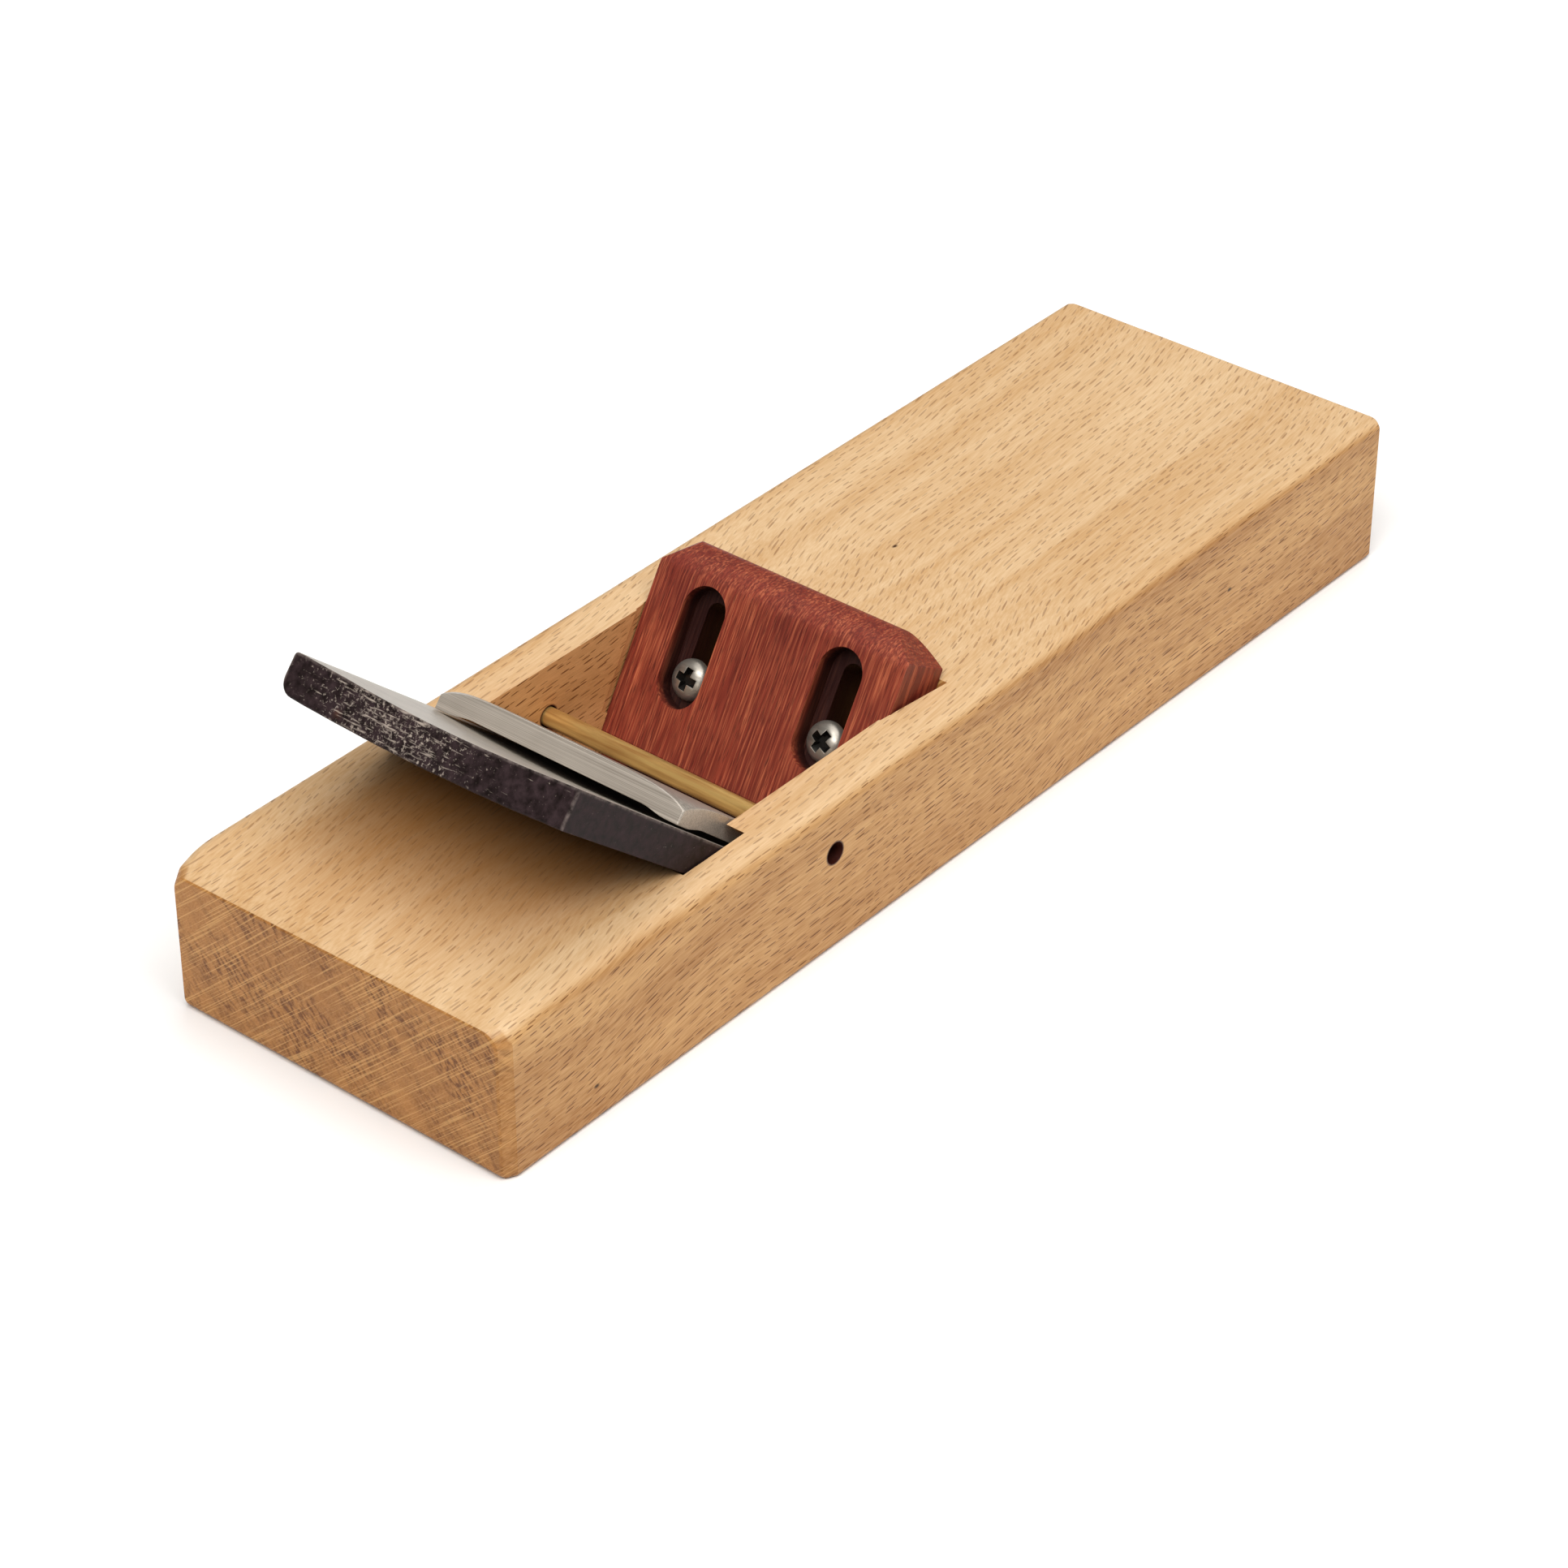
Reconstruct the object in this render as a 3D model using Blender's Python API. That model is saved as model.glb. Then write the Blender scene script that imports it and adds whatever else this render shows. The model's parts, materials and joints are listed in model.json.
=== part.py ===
"""Wooden pull plane with a wedge blade, a chip breaker and a sliding mouthpiece.

Metres, +Z up. The origin is the centre of the sole. The block runs along X with its head,
the end that the blade leans towards, at -X. Left is +Y, seen along +X.

Two slanted frames carry the fitted pieces. The blade frame starts at the cutting edge: its
local X runs up the blade's flat face and its local Z stands out of that face. The mouthpiece
frame starts where the mouthpiece's front face would meet the sole: its local X runs up that
face and its local Z stands out of it, towards the blade.
"""

import math

import bmesh
import bpy
from mathutils import Matrix, Vector

# Gap between pieces that touch, bear on each other or slide on each other.
FIT_GAP = 0.0003
# How far a cutter runs past the surface that it breaks through.
OVERRUN = 0.012

# Blade. Its width is the size that a plane of this kind is sold by.
BED_ANGLE = math.radians(40.0)
BLADE_TAPER = math.radians(1.0)
BLADE_LENGTH = 0.1007
BLADE_WIDTH = 0.0692
BLADE_HEAD_THICKNESS = 0.0080
BLADE_EAR_START = 0.0085
BLADE_BEVEL_ANGLE = math.radians(28.0)
BLADE_EDGE_LAND = 0.00012
BLADE_HEAD_ROUND = 0.0012
BLADE_HEAD_ARRIS = 0.0006
EDGE_X = -0.0319
EDGE_LIFT = 0.0002

# Block.
BLOCK_LENGTH = 0.275
BLOCK_HEIGHT = 0.0334
CHEEK_WALL = 0.0066
HEAD_BEVEL_ALONG = 0.0065
HEAD_BEVEL_DOWN = 0.0039
TOP_ROUND = 0.0034
CORNER_BEVEL = 0.0018
SOLE_BEVEL = 0.0008
TAIL_BEVEL = 0.0009

# Grooves in the throat's cheeks, which hold the blade's sides.
GROOVE_DEPTH = 0.0040
GROOVE_FLARE = math.radians(5.2)
GROOVE_END_GAP = 0.0010

# Room at each side between the throat's cheeks and what stands in the throat.
BLADE_EDGE_CLEARANCE = 0.0007
CHIP_CLEARANCE = 0.0004

# Chip breaker.
CHIP_LENGTH = 0.0600
CHIP_SETBACK = 0.0008
CHIP_THICKNESS = 0.0042
CHIP_RISE = math.radians(0.62)
CHIP_WEDGE = math.radians(0.8)
CHIP_BEVEL_LENGTH = 0.0120
CHIP_EDGE_LAND = 0.0003
CHIP_EAR = 0.0077
CHIP_EAR_DROP = 0.0025

# Retaining pin.
PIN_RADIUS = 0.0020
PIN_ALONG = 0.0247
PIN_RECESS = 0.0040
PIN_BLIND_WALL = 0.0035

# Mouthpiece. Its pocket is cut a step deeper into each cheek than the throat.
RAMP_ANGLE = math.radians(58.4)
POCKET_STEP = 0.0007
MOUTHPIECE_THICKNESS = 0.0129
MOUTHPIECE_FACE_LENGTH = 0.0480
MOUTHPIECE_CROWN_RISE = 0.0018
MOUTHPIECE_ROUND = 0.0050
MOUTHPIECE_FOOT_BACK = 0.0051
MOUTH_OPENING = 0.0014
CLIP_RUN = 0.0109
CLIP_DROP = 0.0058
CLIP_INSET_RIGHT = 0.0083
CLIP_INSET_LEFT = 0.0022

# Slots in the mouthpiece and the screws in them.
SLOT_SPACING = 0.0344
SLOT_LOW_CENTRE = 0.0274
SLOT_TRAVEL = 0.0149
SCREW_HEAD_CLEARANCE = 0.0009
COUNTERBORE_DEPTH = 0.0048
SCREW_ABOVE_SLOT_END = 0.0010
SCREW_RADIUS = 0.0020
SCREW_HEAD_RADIUS = 0.0043
SCREW_HEAD_HEIGHT = 0.0028
SCREW_HEAD_ROUND = 0.0014
SCREW_LENGTH = 0.0160
SCREW_TIP_BEVEL = 0.0006
RECESS_SPAN = 0.0050
RECESS_WIDTH = 0.0013
RECESS_DEPTH = 0.0016
RECESS_TAPER = 0.45

# Threaded inserts in the ramp.
INSERT_WALL = 0.0007
INSERT_LENGTH = 0.0080
INSERT_SINK = 0.0008
INSERT_HOLE_SPARE = 0.0010

ROUND_STEPS = 6
HOLE_SIDES = 24

# Sizes that follow from the ones above.
FACE_ANGLE = BED_ANGLE + BLADE_TAPER
BLOCK_WIDTH = BLADE_WIDTH + 2 * (FIT_GAP + CHEEK_WALL)
THROAT_WIDTH = BLADE_WIDTH - 2 * GROOVE_DEPTH
BLADE_EDGE_WIDTH = THROAT_WIDTH - 2 * BLADE_EDGE_CLEARANCE
CHIP_WIDTH = THROAT_WIDTH - 2 * CHIP_CLEARANCE
POCKET_WIDTH = THROAT_WIDTH + 2 * POCKET_STEP
MOUTHPIECE_WIDTH = POCKET_WIDTH - 2 * FIT_GAP
MOUTHPIECE_FOOT_X = EDGE_X - MOUTHPIECE_FOOT_BACK
COUNTERBORE_WIDTH = 2 * (SCREW_HEAD_RADIUS + SCREW_HEAD_CLEARANCE)
INSERT_BORE = SCREW_RADIUS + FIT_GAP
INSERT_RADIUS = INSERT_BORE + INSERT_WALL


def clear_scene():
    """Removes every object that the file opened with."""
    for old in list(bpy.data.objects):
        bpy.data.objects.remove(old, do_unlink=True)


def material(name, colour, roughness, metallic=0.0):
    """A Principled material with one colour, as linear RGB."""
    made = bpy.data.materials.new(name)
    made.use_nodes = True
    shader = made.node_tree.nodes["Principled BSDF"]
    shader.inputs["Base Color"].default_value = (*colour, 1.0)
    shader.inputs["Roughness"].default_value = roughness
    shader.inputs["Metallic"].default_value = metallic
    return made


def frame_empty(name, origin, along, outward):
    """An empty whose local X is along and whose local Z is outward."""
    side = outward.cross(along)
    turn = Matrix((along, side, outward)).transposed().to_4x4()
    empty = bpy.data.objects.new(name, None)
    empty.matrix_world = Matrix.Translation(origin) @ turn
    bpy.context.scene.collection.objects.link(empty)
    return empty


def mesh_object(name, points, faces, finish=None, frame=None):
    """A mesh object from points and faces, with its normals made to face outwards."""
    mesh = bpy.data.meshes.new(name)
    mesh.from_pydata([tuple(point) for point in points], [], faces)
    shape = bmesh.new()
    shape.from_mesh(mesh)
    bmesh.ops.recalc_face_normals(shape, faces=shape.faces)
    shape.to_mesh(mesh)
    shape.free()
    made = bpy.data.objects.new(name, mesh)
    if finish is not None:
        mesh.materials.append(finish)
    if frame is not None:
        made.parent = frame
    bpy.context.scene.collection.objects.link(made)
    return made


def prism(name, outline, place, near, far, finish=None, frame=None):
    """An outline of (a, b) pairs run from near to far; place(a, b, depth) gives each point."""
    count = len(outline)
    points = [place(a, b, depth) for depth in (near, far) for a, b in outline]
    sides = [(i, (i + 1) % count, count + (i + 1) % count, count + i) for i in range(count)]
    faces = [tuple(range(count)), tuple(range(count, 2 * count))] + sides
    return mesh_object(name, points, faces, finish, frame)


def across_y(a, b, depth):
    """Places an outline in the XZ plane, run along Y."""
    return Vector((a, depth, b))


def across_x(a, b, depth):
    """Places an outline in the YZ plane, run along X."""
    return Vector((depth, a, b))


def across_z(a, b, depth):
    """Places an outline in the XY plane, run along Z."""
    return Vector((a, b, depth))


def arc(centre_a, centre_b, radius, start, end, steps=ROUND_STEPS):
    """Points on an arc from the start angle to the end angle, in radians."""
    turns = [start + (end - start) * i / steps for i in range(steps + 1)]
    return [(centre_a + radius * math.cos(t), centre_b + radius * math.sin(t)) for t in turns]


def lathe(name, profile, sides=HOLE_SIDES, finish=None, frame=None):
    """A closed turned solid about local Z from (radius, height) pairs; the ends lie on the axis."""
    points = []
    rings = []
    for radius, height in profile:
        if radius == 0.0:
            rings.append([len(points)])
            points.append(Vector((0.0, 0.0, height)))
            continue
        rings.append(list(range(len(points), len(points) + sides)))
        for i in range(sides):
            turn = math.tau * (i + 0.5) / sides
            points.append(Vector((radius * math.cos(turn), radius * math.sin(turn), height)))
    faces = []
    for low, high in zip(rings, rings[1:]):
        for i in range(sides):
            j = (i + 1) % sides
            corners = [low[i % len(low)], low[j % len(low)], high[j % len(high)], high[i % len(high)]]
            faces.append(tuple(dict.fromkeys(corners)))
    return mesh_object(name, points, faces, finish, frame)


def smooth_rounds(made):
    """Shades the shallow steps of round surfaces smooth and leaves real edges sharp."""
    made.data.shade_smooth()
    made.data.set_sharp_from_angle(angle=math.radians(32.0))


def as_helper(helper):
    """Marks an object as a construction helper that isn't a piece."""
    helper.hide_render = True
    helper.display_type = "WIRE"
    return helper


def combine(made, helper, operation):
    """Adds a Boolean of a helper to a piece."""
    boolean = made.modifiers.new(helper.name, "BOOLEAN")
    boolean.operation = operation
    boolean.solver = "EXACT"
    boolean.object = as_helper(helper)


def cut(made, helper):
    """Takes a helper's shape out of a piece."""
    combine(made, helper, "DIFFERENCE")


def trim(made, helper):
    """Keeps only what a piece and a helper share."""
    combine(made, helper, "INTERSECT")


def blade_frame_vectors():
    """The directions up the blade's flat face and out of it."""
    along = Vector((-math.cos(FACE_ANGLE), 0.0, math.sin(FACE_ANGLE)))
    outward = Vector((math.sin(FACE_ANGLE), 0.0, math.cos(FACE_ANGLE)))
    return along, outward


def blade_world(along, outward):
    """The (x, z) of a point given along the blade's face and out of it."""
    run, rise = blade_frame_vectors()
    point = Vector((EDGE_X, 0.0, EDGE_LIFT)) + run * along + rise * outward
    return point.x, point.z


def mouth_world(along, outward):
    """The (x, z) of a point given up the mouthpiece's face and out of it."""
    x = MOUTHPIECE_FOOT_X + along * math.cos(RAMP_ANGLE) - outward * math.sin(RAMP_ANGLE)
    z = along * math.sin(RAMP_ANGLE) + outward * math.cos(RAMP_ANGLE)
    return x, z


def blade_back(along):
    """The depth of the blade's back under its face, as a negative height."""
    return -BLADE_HEAD_THICKNESS + (BLADE_LENGTH - along) * math.tan(BLADE_TAPER)


def chip_bottom(along):
    """The height of the chip breaker's underside above the blade's face."""
    return FIT_GAP + (along - CHIP_SETBACK) * math.tan(CHIP_RISE)


def chip_top(along):
    """The height of the chip breaker's upper face above the blade's face."""
    at_pin = chip_bottom(PIN_ALONG) + CHIP_THICKNESS
    return at_pin + (along - PIN_ALONG) * math.tan(CHIP_RISE + CHIP_WEDGE)


def pin_height():
    """The height of the pin's axis above the blade's face."""
    lean = math.cos(CHIP_RISE + CHIP_WEDGE)
    return chip_top(PIN_ALONG) + (FIT_GAP + PIN_RADIUS) / lean


def screw_along():
    """How far up the mouthpiece's face the screws stand at rest."""
    return SLOT_LOW_CENTRE + SCREW_ABOVE_SLOT_END


def insert_top():
    """The height of the threaded inserts' upper ends in the mouthpiece frame."""
    return -MOUTHPIECE_THICKNESS - FIT_GAP - INSERT_SINK


def insert_floor():
    """The height of the threaded inserts' lower ends in the mouthpiece frame."""
    return insert_top() - INSERT_LENGTH


def screw_tip():
    """The height of the screws' tips in the mouthpiece frame."""
    return FIT_GAP - COUNTERBORE_DEPTH - SCREW_LENGTH


def toe_x():
    """The X of the mouthpiece's upright toe, ahead of the cutting edge by the mouth opening."""
    return EDGE_X + MOUTH_OPENING


def ear_end():
    """How far up the blade its sides reach the full width, at 45 degrees."""
    return BLADE_EAR_START + (BLADE_WIDTH - BLADE_EDGE_WIDTH) / 2


def groove_floor():
    """How far up the blade's face the grooves end, just under the blade's ears."""
    ear_in_groove = BLADE_EAR_START + (THROAT_WIDTH - BLADE_EDGE_WIDTH) / 2
    return ear_in_groove - GROOVE_END_GAP


def block_side_outline():
    """The block from the side, as (x, z)."""
    half = BLOCK_LENGTH / 2
    return [
        (-half, SOLE_BEVEL),
        (-half + SOLE_BEVEL, 0.0),
        (half - SOLE_BEVEL, 0.0),
        (half, SOLE_BEVEL),
        (half, BLOCK_HEIGHT - TAIL_BEVEL),
        (half - TAIL_BEVEL, BLOCK_HEIGHT),
        (-half + HEAD_BEVEL_ALONG, BLOCK_HEIGHT),
        (-half, BLOCK_HEIGHT - HEAD_BEVEL_DOWN),
    ]


def block_end_outline():
    """The block from the end, as (y, z), with rounded long top edges."""
    half = BLOCK_WIDTH / 2
    high = BLOCK_HEIGHT - TOP_ROUND
    right = arc(half - TOP_ROUND, high, TOP_ROUND, 0.0, math.pi / 2)
    left = arc(-half + TOP_ROUND, high, TOP_ROUND, math.pi / 2, math.pi)
    foot = [(-half, SOLE_BEVEL), (-half + SOLE_BEVEL, 0.0), (half - SOLE_BEVEL, 0.0), (half, SOLE_BEVEL)]
    return right + left + foot


def block_plan_outline():
    """The block from above, as (x, y), with its four upright corners bevelled."""
    long = BLOCK_LENGTH / 2
    wide = BLOCK_WIDTH / 2
    corners = []
    for sign_x, sign_y in ((1, 1), (-1, 1), (-1, -1), (1, -1)):
        on_end = (sign_x * long, sign_y * (wide - CORNER_BEVEL))
        on_side = (sign_x * (long - CORNER_BEVEL), sign_y * wide)
        corners += [on_end, on_side] if sign_x * sign_y > 0 else [on_side, on_end]
    return corners


def bed_point(along):
    """The (x, z) of a point on the blade's bed, from how far up the blade it is."""
    return blade_world(along, blade_back(along) - FIT_GAP)


def throat_outline():
    """The throat from the side, as (x, z): from the blade's bed to inside the mouthpiece's pocket."""
    high = BLADE_LENGTH
    inside = -MOUTHPIECE_THICKNESS / 2
    bed = [bed_point(0.0), bed_point(groove_floor()), bed_point(high)]
    return bed + [mouth_world(high, inside), mouth_world(0.0, inside)]


def groove_outline():
    """A blade groove from the side, as (x, z): it opens a little towards the top."""
    low = groove_floor()
    high = BLADE_LENGTH
    front_high = FIT_GAP + (high - low) * math.tan(GROOVE_FLARE)
    front = [blade_world(high, front_high), blade_world(low, FIT_GAP)]
    return [bed_point(low), bed_point(high)] + front


def pocket_outline():
    """The mouthpiece's pocket from the side, as (x, z)."""
    low = -OVERRUN
    high = MOUTHPIECE_FACE_LENGTH + OVERRUN
    front = FIT_GAP
    back = -MOUTHPIECE_THICKNESS - FIT_GAP
    corners = ((low, front), (high, front), (high, back), (low, back))
    return [mouth_world(along, outward) for along, outward in corners]


def cut_round_hole(made, name, centre, direction, radius, length):
    """Bores a hole from a centre along a direction."""
    helper = lathe(name, [(0.0, 0.0), (radius, 0.0), (radius, length), (0.0, length)])
    helper.matrix_world = Matrix.Translation(centre) @ direction.to_track_quat("Z", "Y").to_matrix().to_4x4()
    cut(made, helper)


def build_block(finish):
    """The block with its throat, blade grooves, mouthpiece pocket and bored holes."""
    half_length = BLOCK_LENGTH / 2 + OVERRUN
    half_width = BLOCK_WIDTH / 2 + OVERRUN
    block = prism("plane_block", block_side_outline(), across_y, -half_width, half_width, finish)
    trim(block, prism("block_end_shape", block_end_outline(), across_x, -half_length, half_length))
    above = BLOCK_HEIGHT + OVERRUN
    trim(block, prism("block_plan_shape", block_plan_outline(), across_z, -OVERRUN, above))
    throat = THROAT_WIDTH / 2
    cut(block, prism("throat_cutter", throat_outline(), across_y, -throat, throat))
    groove = BLADE_WIDTH / 2 + FIT_GAP
    cut(block, prism("groove_cutter", groove_outline(), across_y, -groove, groove))
    pocket = POCKET_WIDTH / 2
    cut(block, prism("pocket_cutter", pocket_outline(), across_y, -pocket, pocket))
    cut_pin_hole(block)
    cut_insert_holes(block)
    smooth_rounds(block)
    return block


def cut_pin_hole(block):
    """Bores the pin's hole from the right side, blind in the left cheek."""
    x, z = blade_world(PIN_ALONG, pin_height())
    start = Vector((x, -BLOCK_WIDTH / 2 - OVERRUN, z))
    length = BLOCK_WIDTH - PIN_BLIND_WALL + OVERRUN
    cut_round_hole(block, "pin_hole", start, Vector((0.0, 1.0, 0.0)), PIN_RADIUS + FIT_GAP, length)


def cut_insert_holes(block):
    """Bores the ramp for the two threaded inserts and the screws' tips."""
    into = Vector((math.sin(RAMP_ANGLE), 0.0, -math.cos(RAMP_ANGLE)))
    floor = min(insert_floor(), screw_tip()) - INSERT_HOLE_SPARE
    start_depth = MOUTHPIECE_THICKNESS / 2
    x, z = mouth_world(screw_along(), -start_depth)
    for side, sign in (("left", 1), ("right", -1)):
        start = Vector((x, sign * SLOT_SPACING / 2, z))
        radius = INSERT_RADIUS + FIT_GAP
        cut_round_hole(block, f"insert_hole_{side}", start, into, radius, -floor - start_depth)


def blade_profile():
    """The blade from the side, as (along, outward) in the blade frame."""
    tangent = math.tan(BLADE_BEVEL_ANGLE)
    root = blade_back(0.0)
    heel = (-root - BLADE_EDGE_LAND) / (tangent - math.tan(BLADE_TAPER))
    head_back = blade_back(BLADE_LENGTH)
    arris = BLADE_HEAD_ARRIS
    return [
        (0.0, 0.0),
        (BLADE_LENGTH - arris, 0.0),
        (BLADE_LENGTH, -arris),
        (BLADE_LENGTH, head_back + 2 * arris),
        (BLADE_LENGTH - 2 * arris, blade_back(BLADE_LENGTH - 2 * arris)),
        (heel, blade_back(heel)),
        (0.0, -BLADE_EDGE_LAND),
    ]


def blade_plan():
    """The blade from its face, as (along, y), with clipped ears and rounded head corners."""
    edge = BLADE_EDGE_WIDTH / 2
    full = BLADE_WIDTH / 2
    corner = BLADE_HEAD_ROUND
    centre = BLADE_LENGTH - corner
    right = [(-OVERRUN, -edge), (BLADE_EAR_START, -edge), (ear_end(), -full)]
    right += arc(centre, -full + corner, corner, -math.pi / 2, 0.0)
    left = [(along, -wide) for along, wide in reversed(right)]
    return right + left


def build_blade(finish, frame):
    """The wedge blade: flat face, bevel at the edge, clipped ears and a rounded head."""
    half = BLADE_WIDTH / 2 + OVERRUN
    blade = prism("blade", blade_profile(), across_y, -half, half, finish, frame)
    deep = BLADE_HEAD_THICKNESS + OVERRUN
    trim(blade, prism("blade_plan_shape", blade_plan(), across_z, -deep, OVERRUN, frame=frame))
    smooth_rounds(blade)
    return blade


def build_chip_breaker(finish, frame):
    """The chip breaker: a wedge plate, bevelled at the edge, with its head corners bent down."""
    half = CHIP_WIDTH / 2
    head = CHIP_SETBACK + CHIP_LENGTH
    fold = head - CHIP_EAR
    bevel = CHIP_SETBACK + CHIP_BEVEL_LENGTH
    right = [(CHIP_SETBACK, -half), (bevel, -half), (fold, -half), (head, -half), (head, -half + CHIP_EAR)]
    outline = right + [(along, -wide) for along, wide in reversed(right)]
    points = []
    for surface in (chip_bottom, chip_top):
        for along, wide in outline:
            height = surface(along)
            if along == CHIP_SETBACK and surface is chip_top:
                height = chip_bottom(along) + CHIP_EDGE_LAND
            if along == head and abs(wide) == half:
                height = FIT_GAP if surface is chip_bottom else height - CHIP_EAR_DROP
            points.append(Vector((along, wide, height)))
    panels = [(0, 1, 8, 9), (1, 2, 4, 5, 7, 8), (2, 3, 4), (5, 6, 7)]
    faces = panels + [tuple(i + 10 for i in panel) for panel in panels]
    faces += [(i, (i + 1) % 10, 10 + (i + 1) % 10, 10 + i) for i in range(10)]
    return mesh_object("chip_breaker", points, faces, finish, frame)


def build_pin(finish):
    """The retaining pin, across the throat above the chip breaker."""
    x, z = blade_world(PIN_ALONG, pin_height())
    start = -BLOCK_WIDTH / 2 + PIN_RECESS
    length = BLOCK_WIDTH - PIN_RECESS - PIN_BLIND_WALL - FIT_GAP
    bevel = PIN_RADIUS / 5
    profile = [
        (0.0, 0.0),
        (PIN_RADIUS - bevel, 0.0),
        (PIN_RADIUS, bevel),
        (PIN_RADIUS, length - bevel),
        (PIN_RADIUS - bevel, length),
        (0.0, length),
    ]
    pin = lathe("retaining_pin", profile, HOLE_SIDES, finish)
    turn = Vector((0.0, 1.0, 0.0)).to_track_quat("Z", "Y").to_matrix().to_4x4()
    pin.matrix_world = Matrix.Translation(Vector((x, start, z))) @ turn
    smooth_rounds(pin)
    return pin


def mouthpiece_outline():
    """The mouthpiece from the side, as (x, z): upright toe, slanted face, crown and rounded back."""
    toe_height = (toe_x() - MOUTHPIECE_FOOT_X) * math.tan(RAMP_ANGLE)
    arris = mouth_world(MOUTHPIECE_FACE_LENGTH, 0.0)
    back_foot = MOUTHPIECE_FOOT_X + MOUTHPIECE_THICKNESS / math.sin(RAMP_ANGLE)
    centre_out = -MOUTHPIECE_THICKNESS + MOUTHPIECE_ROUND
    centre_z = arris[1] + MOUTHPIECE_CROWN_RISE - MOUTHPIECE_ROUND
    centre_along = (centre_z - centre_out * math.cos(RAMP_ANGLE)) / math.sin(RAMP_ANGLE)
    centre_x = mouth_world(centre_along, centre_out)[0]
    back_turn = RAMP_ANGLE - math.pi / 2
    crown = arc(centre_x, centre_z, MOUTHPIECE_ROUND, math.pi / 2, back_turn, 2 * ROUND_STEPS)
    return [(toe_x(), 0.0), (toe_x(), toe_height), arris] + crown + [(back_foot, 0.0)]


def slot_outline(width):
    """A round-ended slot about the slot's own middle line, as (along, y)."""
    radius = width / 2
    low = SLOT_LOW_CENTRE
    high = SLOT_LOW_CENTRE + SLOT_TRAVEL
    lower_end = arc(low, 0.0, radius, math.pi / 2, 3 * math.pi / 2, 2 * ROUND_STEPS)
    upper_end = arc(high, 0.0, radius, -math.pi / 2, math.pi / 2, 2 * ROUND_STEPS)
    return lower_end + upper_end


def cut_slots(mouthpiece, frame):
    """Cuts a counterbored slot for each screw."""
    through = MOUTHPIECE_THICKNESS + OVERRUN
    shank_width = 2 * (SCREW_RADIUS + FIT_GAP)
    for side, sign in (("left", 1), ("right", -1)):
        wide = slot_outline(COUNTERBORE_WIDTH)
        narrow = slot_outline(shank_width)
        bore = prism(f"counterbore_{side}", wide, across_z, -COUNTERBORE_DEPTH, OVERRUN, frame=frame)
        slot = prism(f"slot_{side}", narrow, across_z, -through, OVERRUN, frame=frame)
        for helper in (bore, slot):
            helper.location.y = sign * SLOT_SPACING / 2
            cut(mouthpiece, helper)


def cut_clip(mouthpiece, name, sign, inset):
    """Planes one top corner off: nothing at the front arris, the inset wide at the back."""
    half = sign * MOUTHPIECE_WIDTH / 2
    arris_x, arris_z = mouth_world(MOUTHPIECE_FACE_LENGTH, 0.0)
    front = Vector((arris_x, half, arris_z))
    inner = front + Vector((CLIP_RUN, -sign * inset, 0.0))
    lower = front + Vector((CLIP_RUN, 0.0, -CLIP_DROP * inset / CLIP_INSET_RIGHT))
    normal = (inner - front).cross(lower - front).normalized()
    if normal.z < 0.0:
        normal = -normal
    size = 2 * CLIP_RUN
    square = [(-size, -size), (size, -size), (size, size), (-size, size)]
    helper = prism(name, square, across_z, 0.0, size)
    helper.matrix_world = Matrix.Translation(front) @ normal.to_track_quat("Z", "Y").to_matrix().to_4x4()
    cut(mouthpiece, helper)


def build_mouthpiece(finish, frame):
    """The mouthpiece: a slotted hardwood plate on the ramp, with an upright toe at the mouth."""
    half = MOUTHPIECE_WIDTH / 2
    mouthpiece = prism("mouthpiece", mouthpiece_outline(), across_y, -half, half, finish)
    cut_slots(mouthpiece, frame)
    cut_clip(mouthpiece, "clip_left", 1, CLIP_INSET_LEFT)
    cut_clip(mouthpiece, "clip_right", -1, CLIP_INSET_RIGHT)
    smooth_rounds(mouthpiece)
    return mouthpiece


def screw_profile():
    """A pan-head screw as (radius, height), its tip at the bottom and zero under its head."""
    head = SCREW_HEAD_RADIUS
    corner = SCREW_HEAD_ROUND
    tall = SCREW_HEAD_HEIGHT
    tip = -SCREW_LENGTH
    dome = arc(head - corner, tall - corner, corner, 0.0, math.pi / 2 * 0.8, 4)
    return [
        (0.0, tip),
        (SCREW_RADIUS - SCREW_TIP_BEVEL, tip),
        (SCREW_RADIUS, tip + SCREW_TIP_BEVEL),
        (SCREW_RADIUS, 0.0),
        (head, 0.0),
        *dome,
        (0.0, tall),
    ]


def recess_bar(name, frame, turn):
    """One bar of a cross recess, tapering towards its floor."""
    floor = SCREW_HEAD_HEIGHT - RECESS_DEPTH
    top = SCREW_HEAD_HEIGHT + RECESS_DEPTH
    long = RECESS_SPAN / 2
    wide = RECESS_WIDTH / 2
    deep = long * RECESS_TAPER
    points = [Vector((x, y, floor)) for x, y in ((-deep, -wide), (deep, -wide), (deep, wide), (-deep, wide))]
    high = long + (long - deep) * (top - SCREW_HEAD_HEIGHT) / RECESS_DEPTH
    points += [Vector((x, y, top)) for x, y in ((-high, -wide), (high, -wide), (high, wide), (-high, wide))]
    faces = [(0, 1, 2, 3), (4, 5, 6, 7), (0, 1, 5, 4), (1, 2, 6, 5), (2, 3, 7, 6), (3, 0, 4, 7)]
    bar = mesh_object(name, points, faces, frame=frame)
    bar.rotation_euler.z = turn
    return bar


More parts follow.
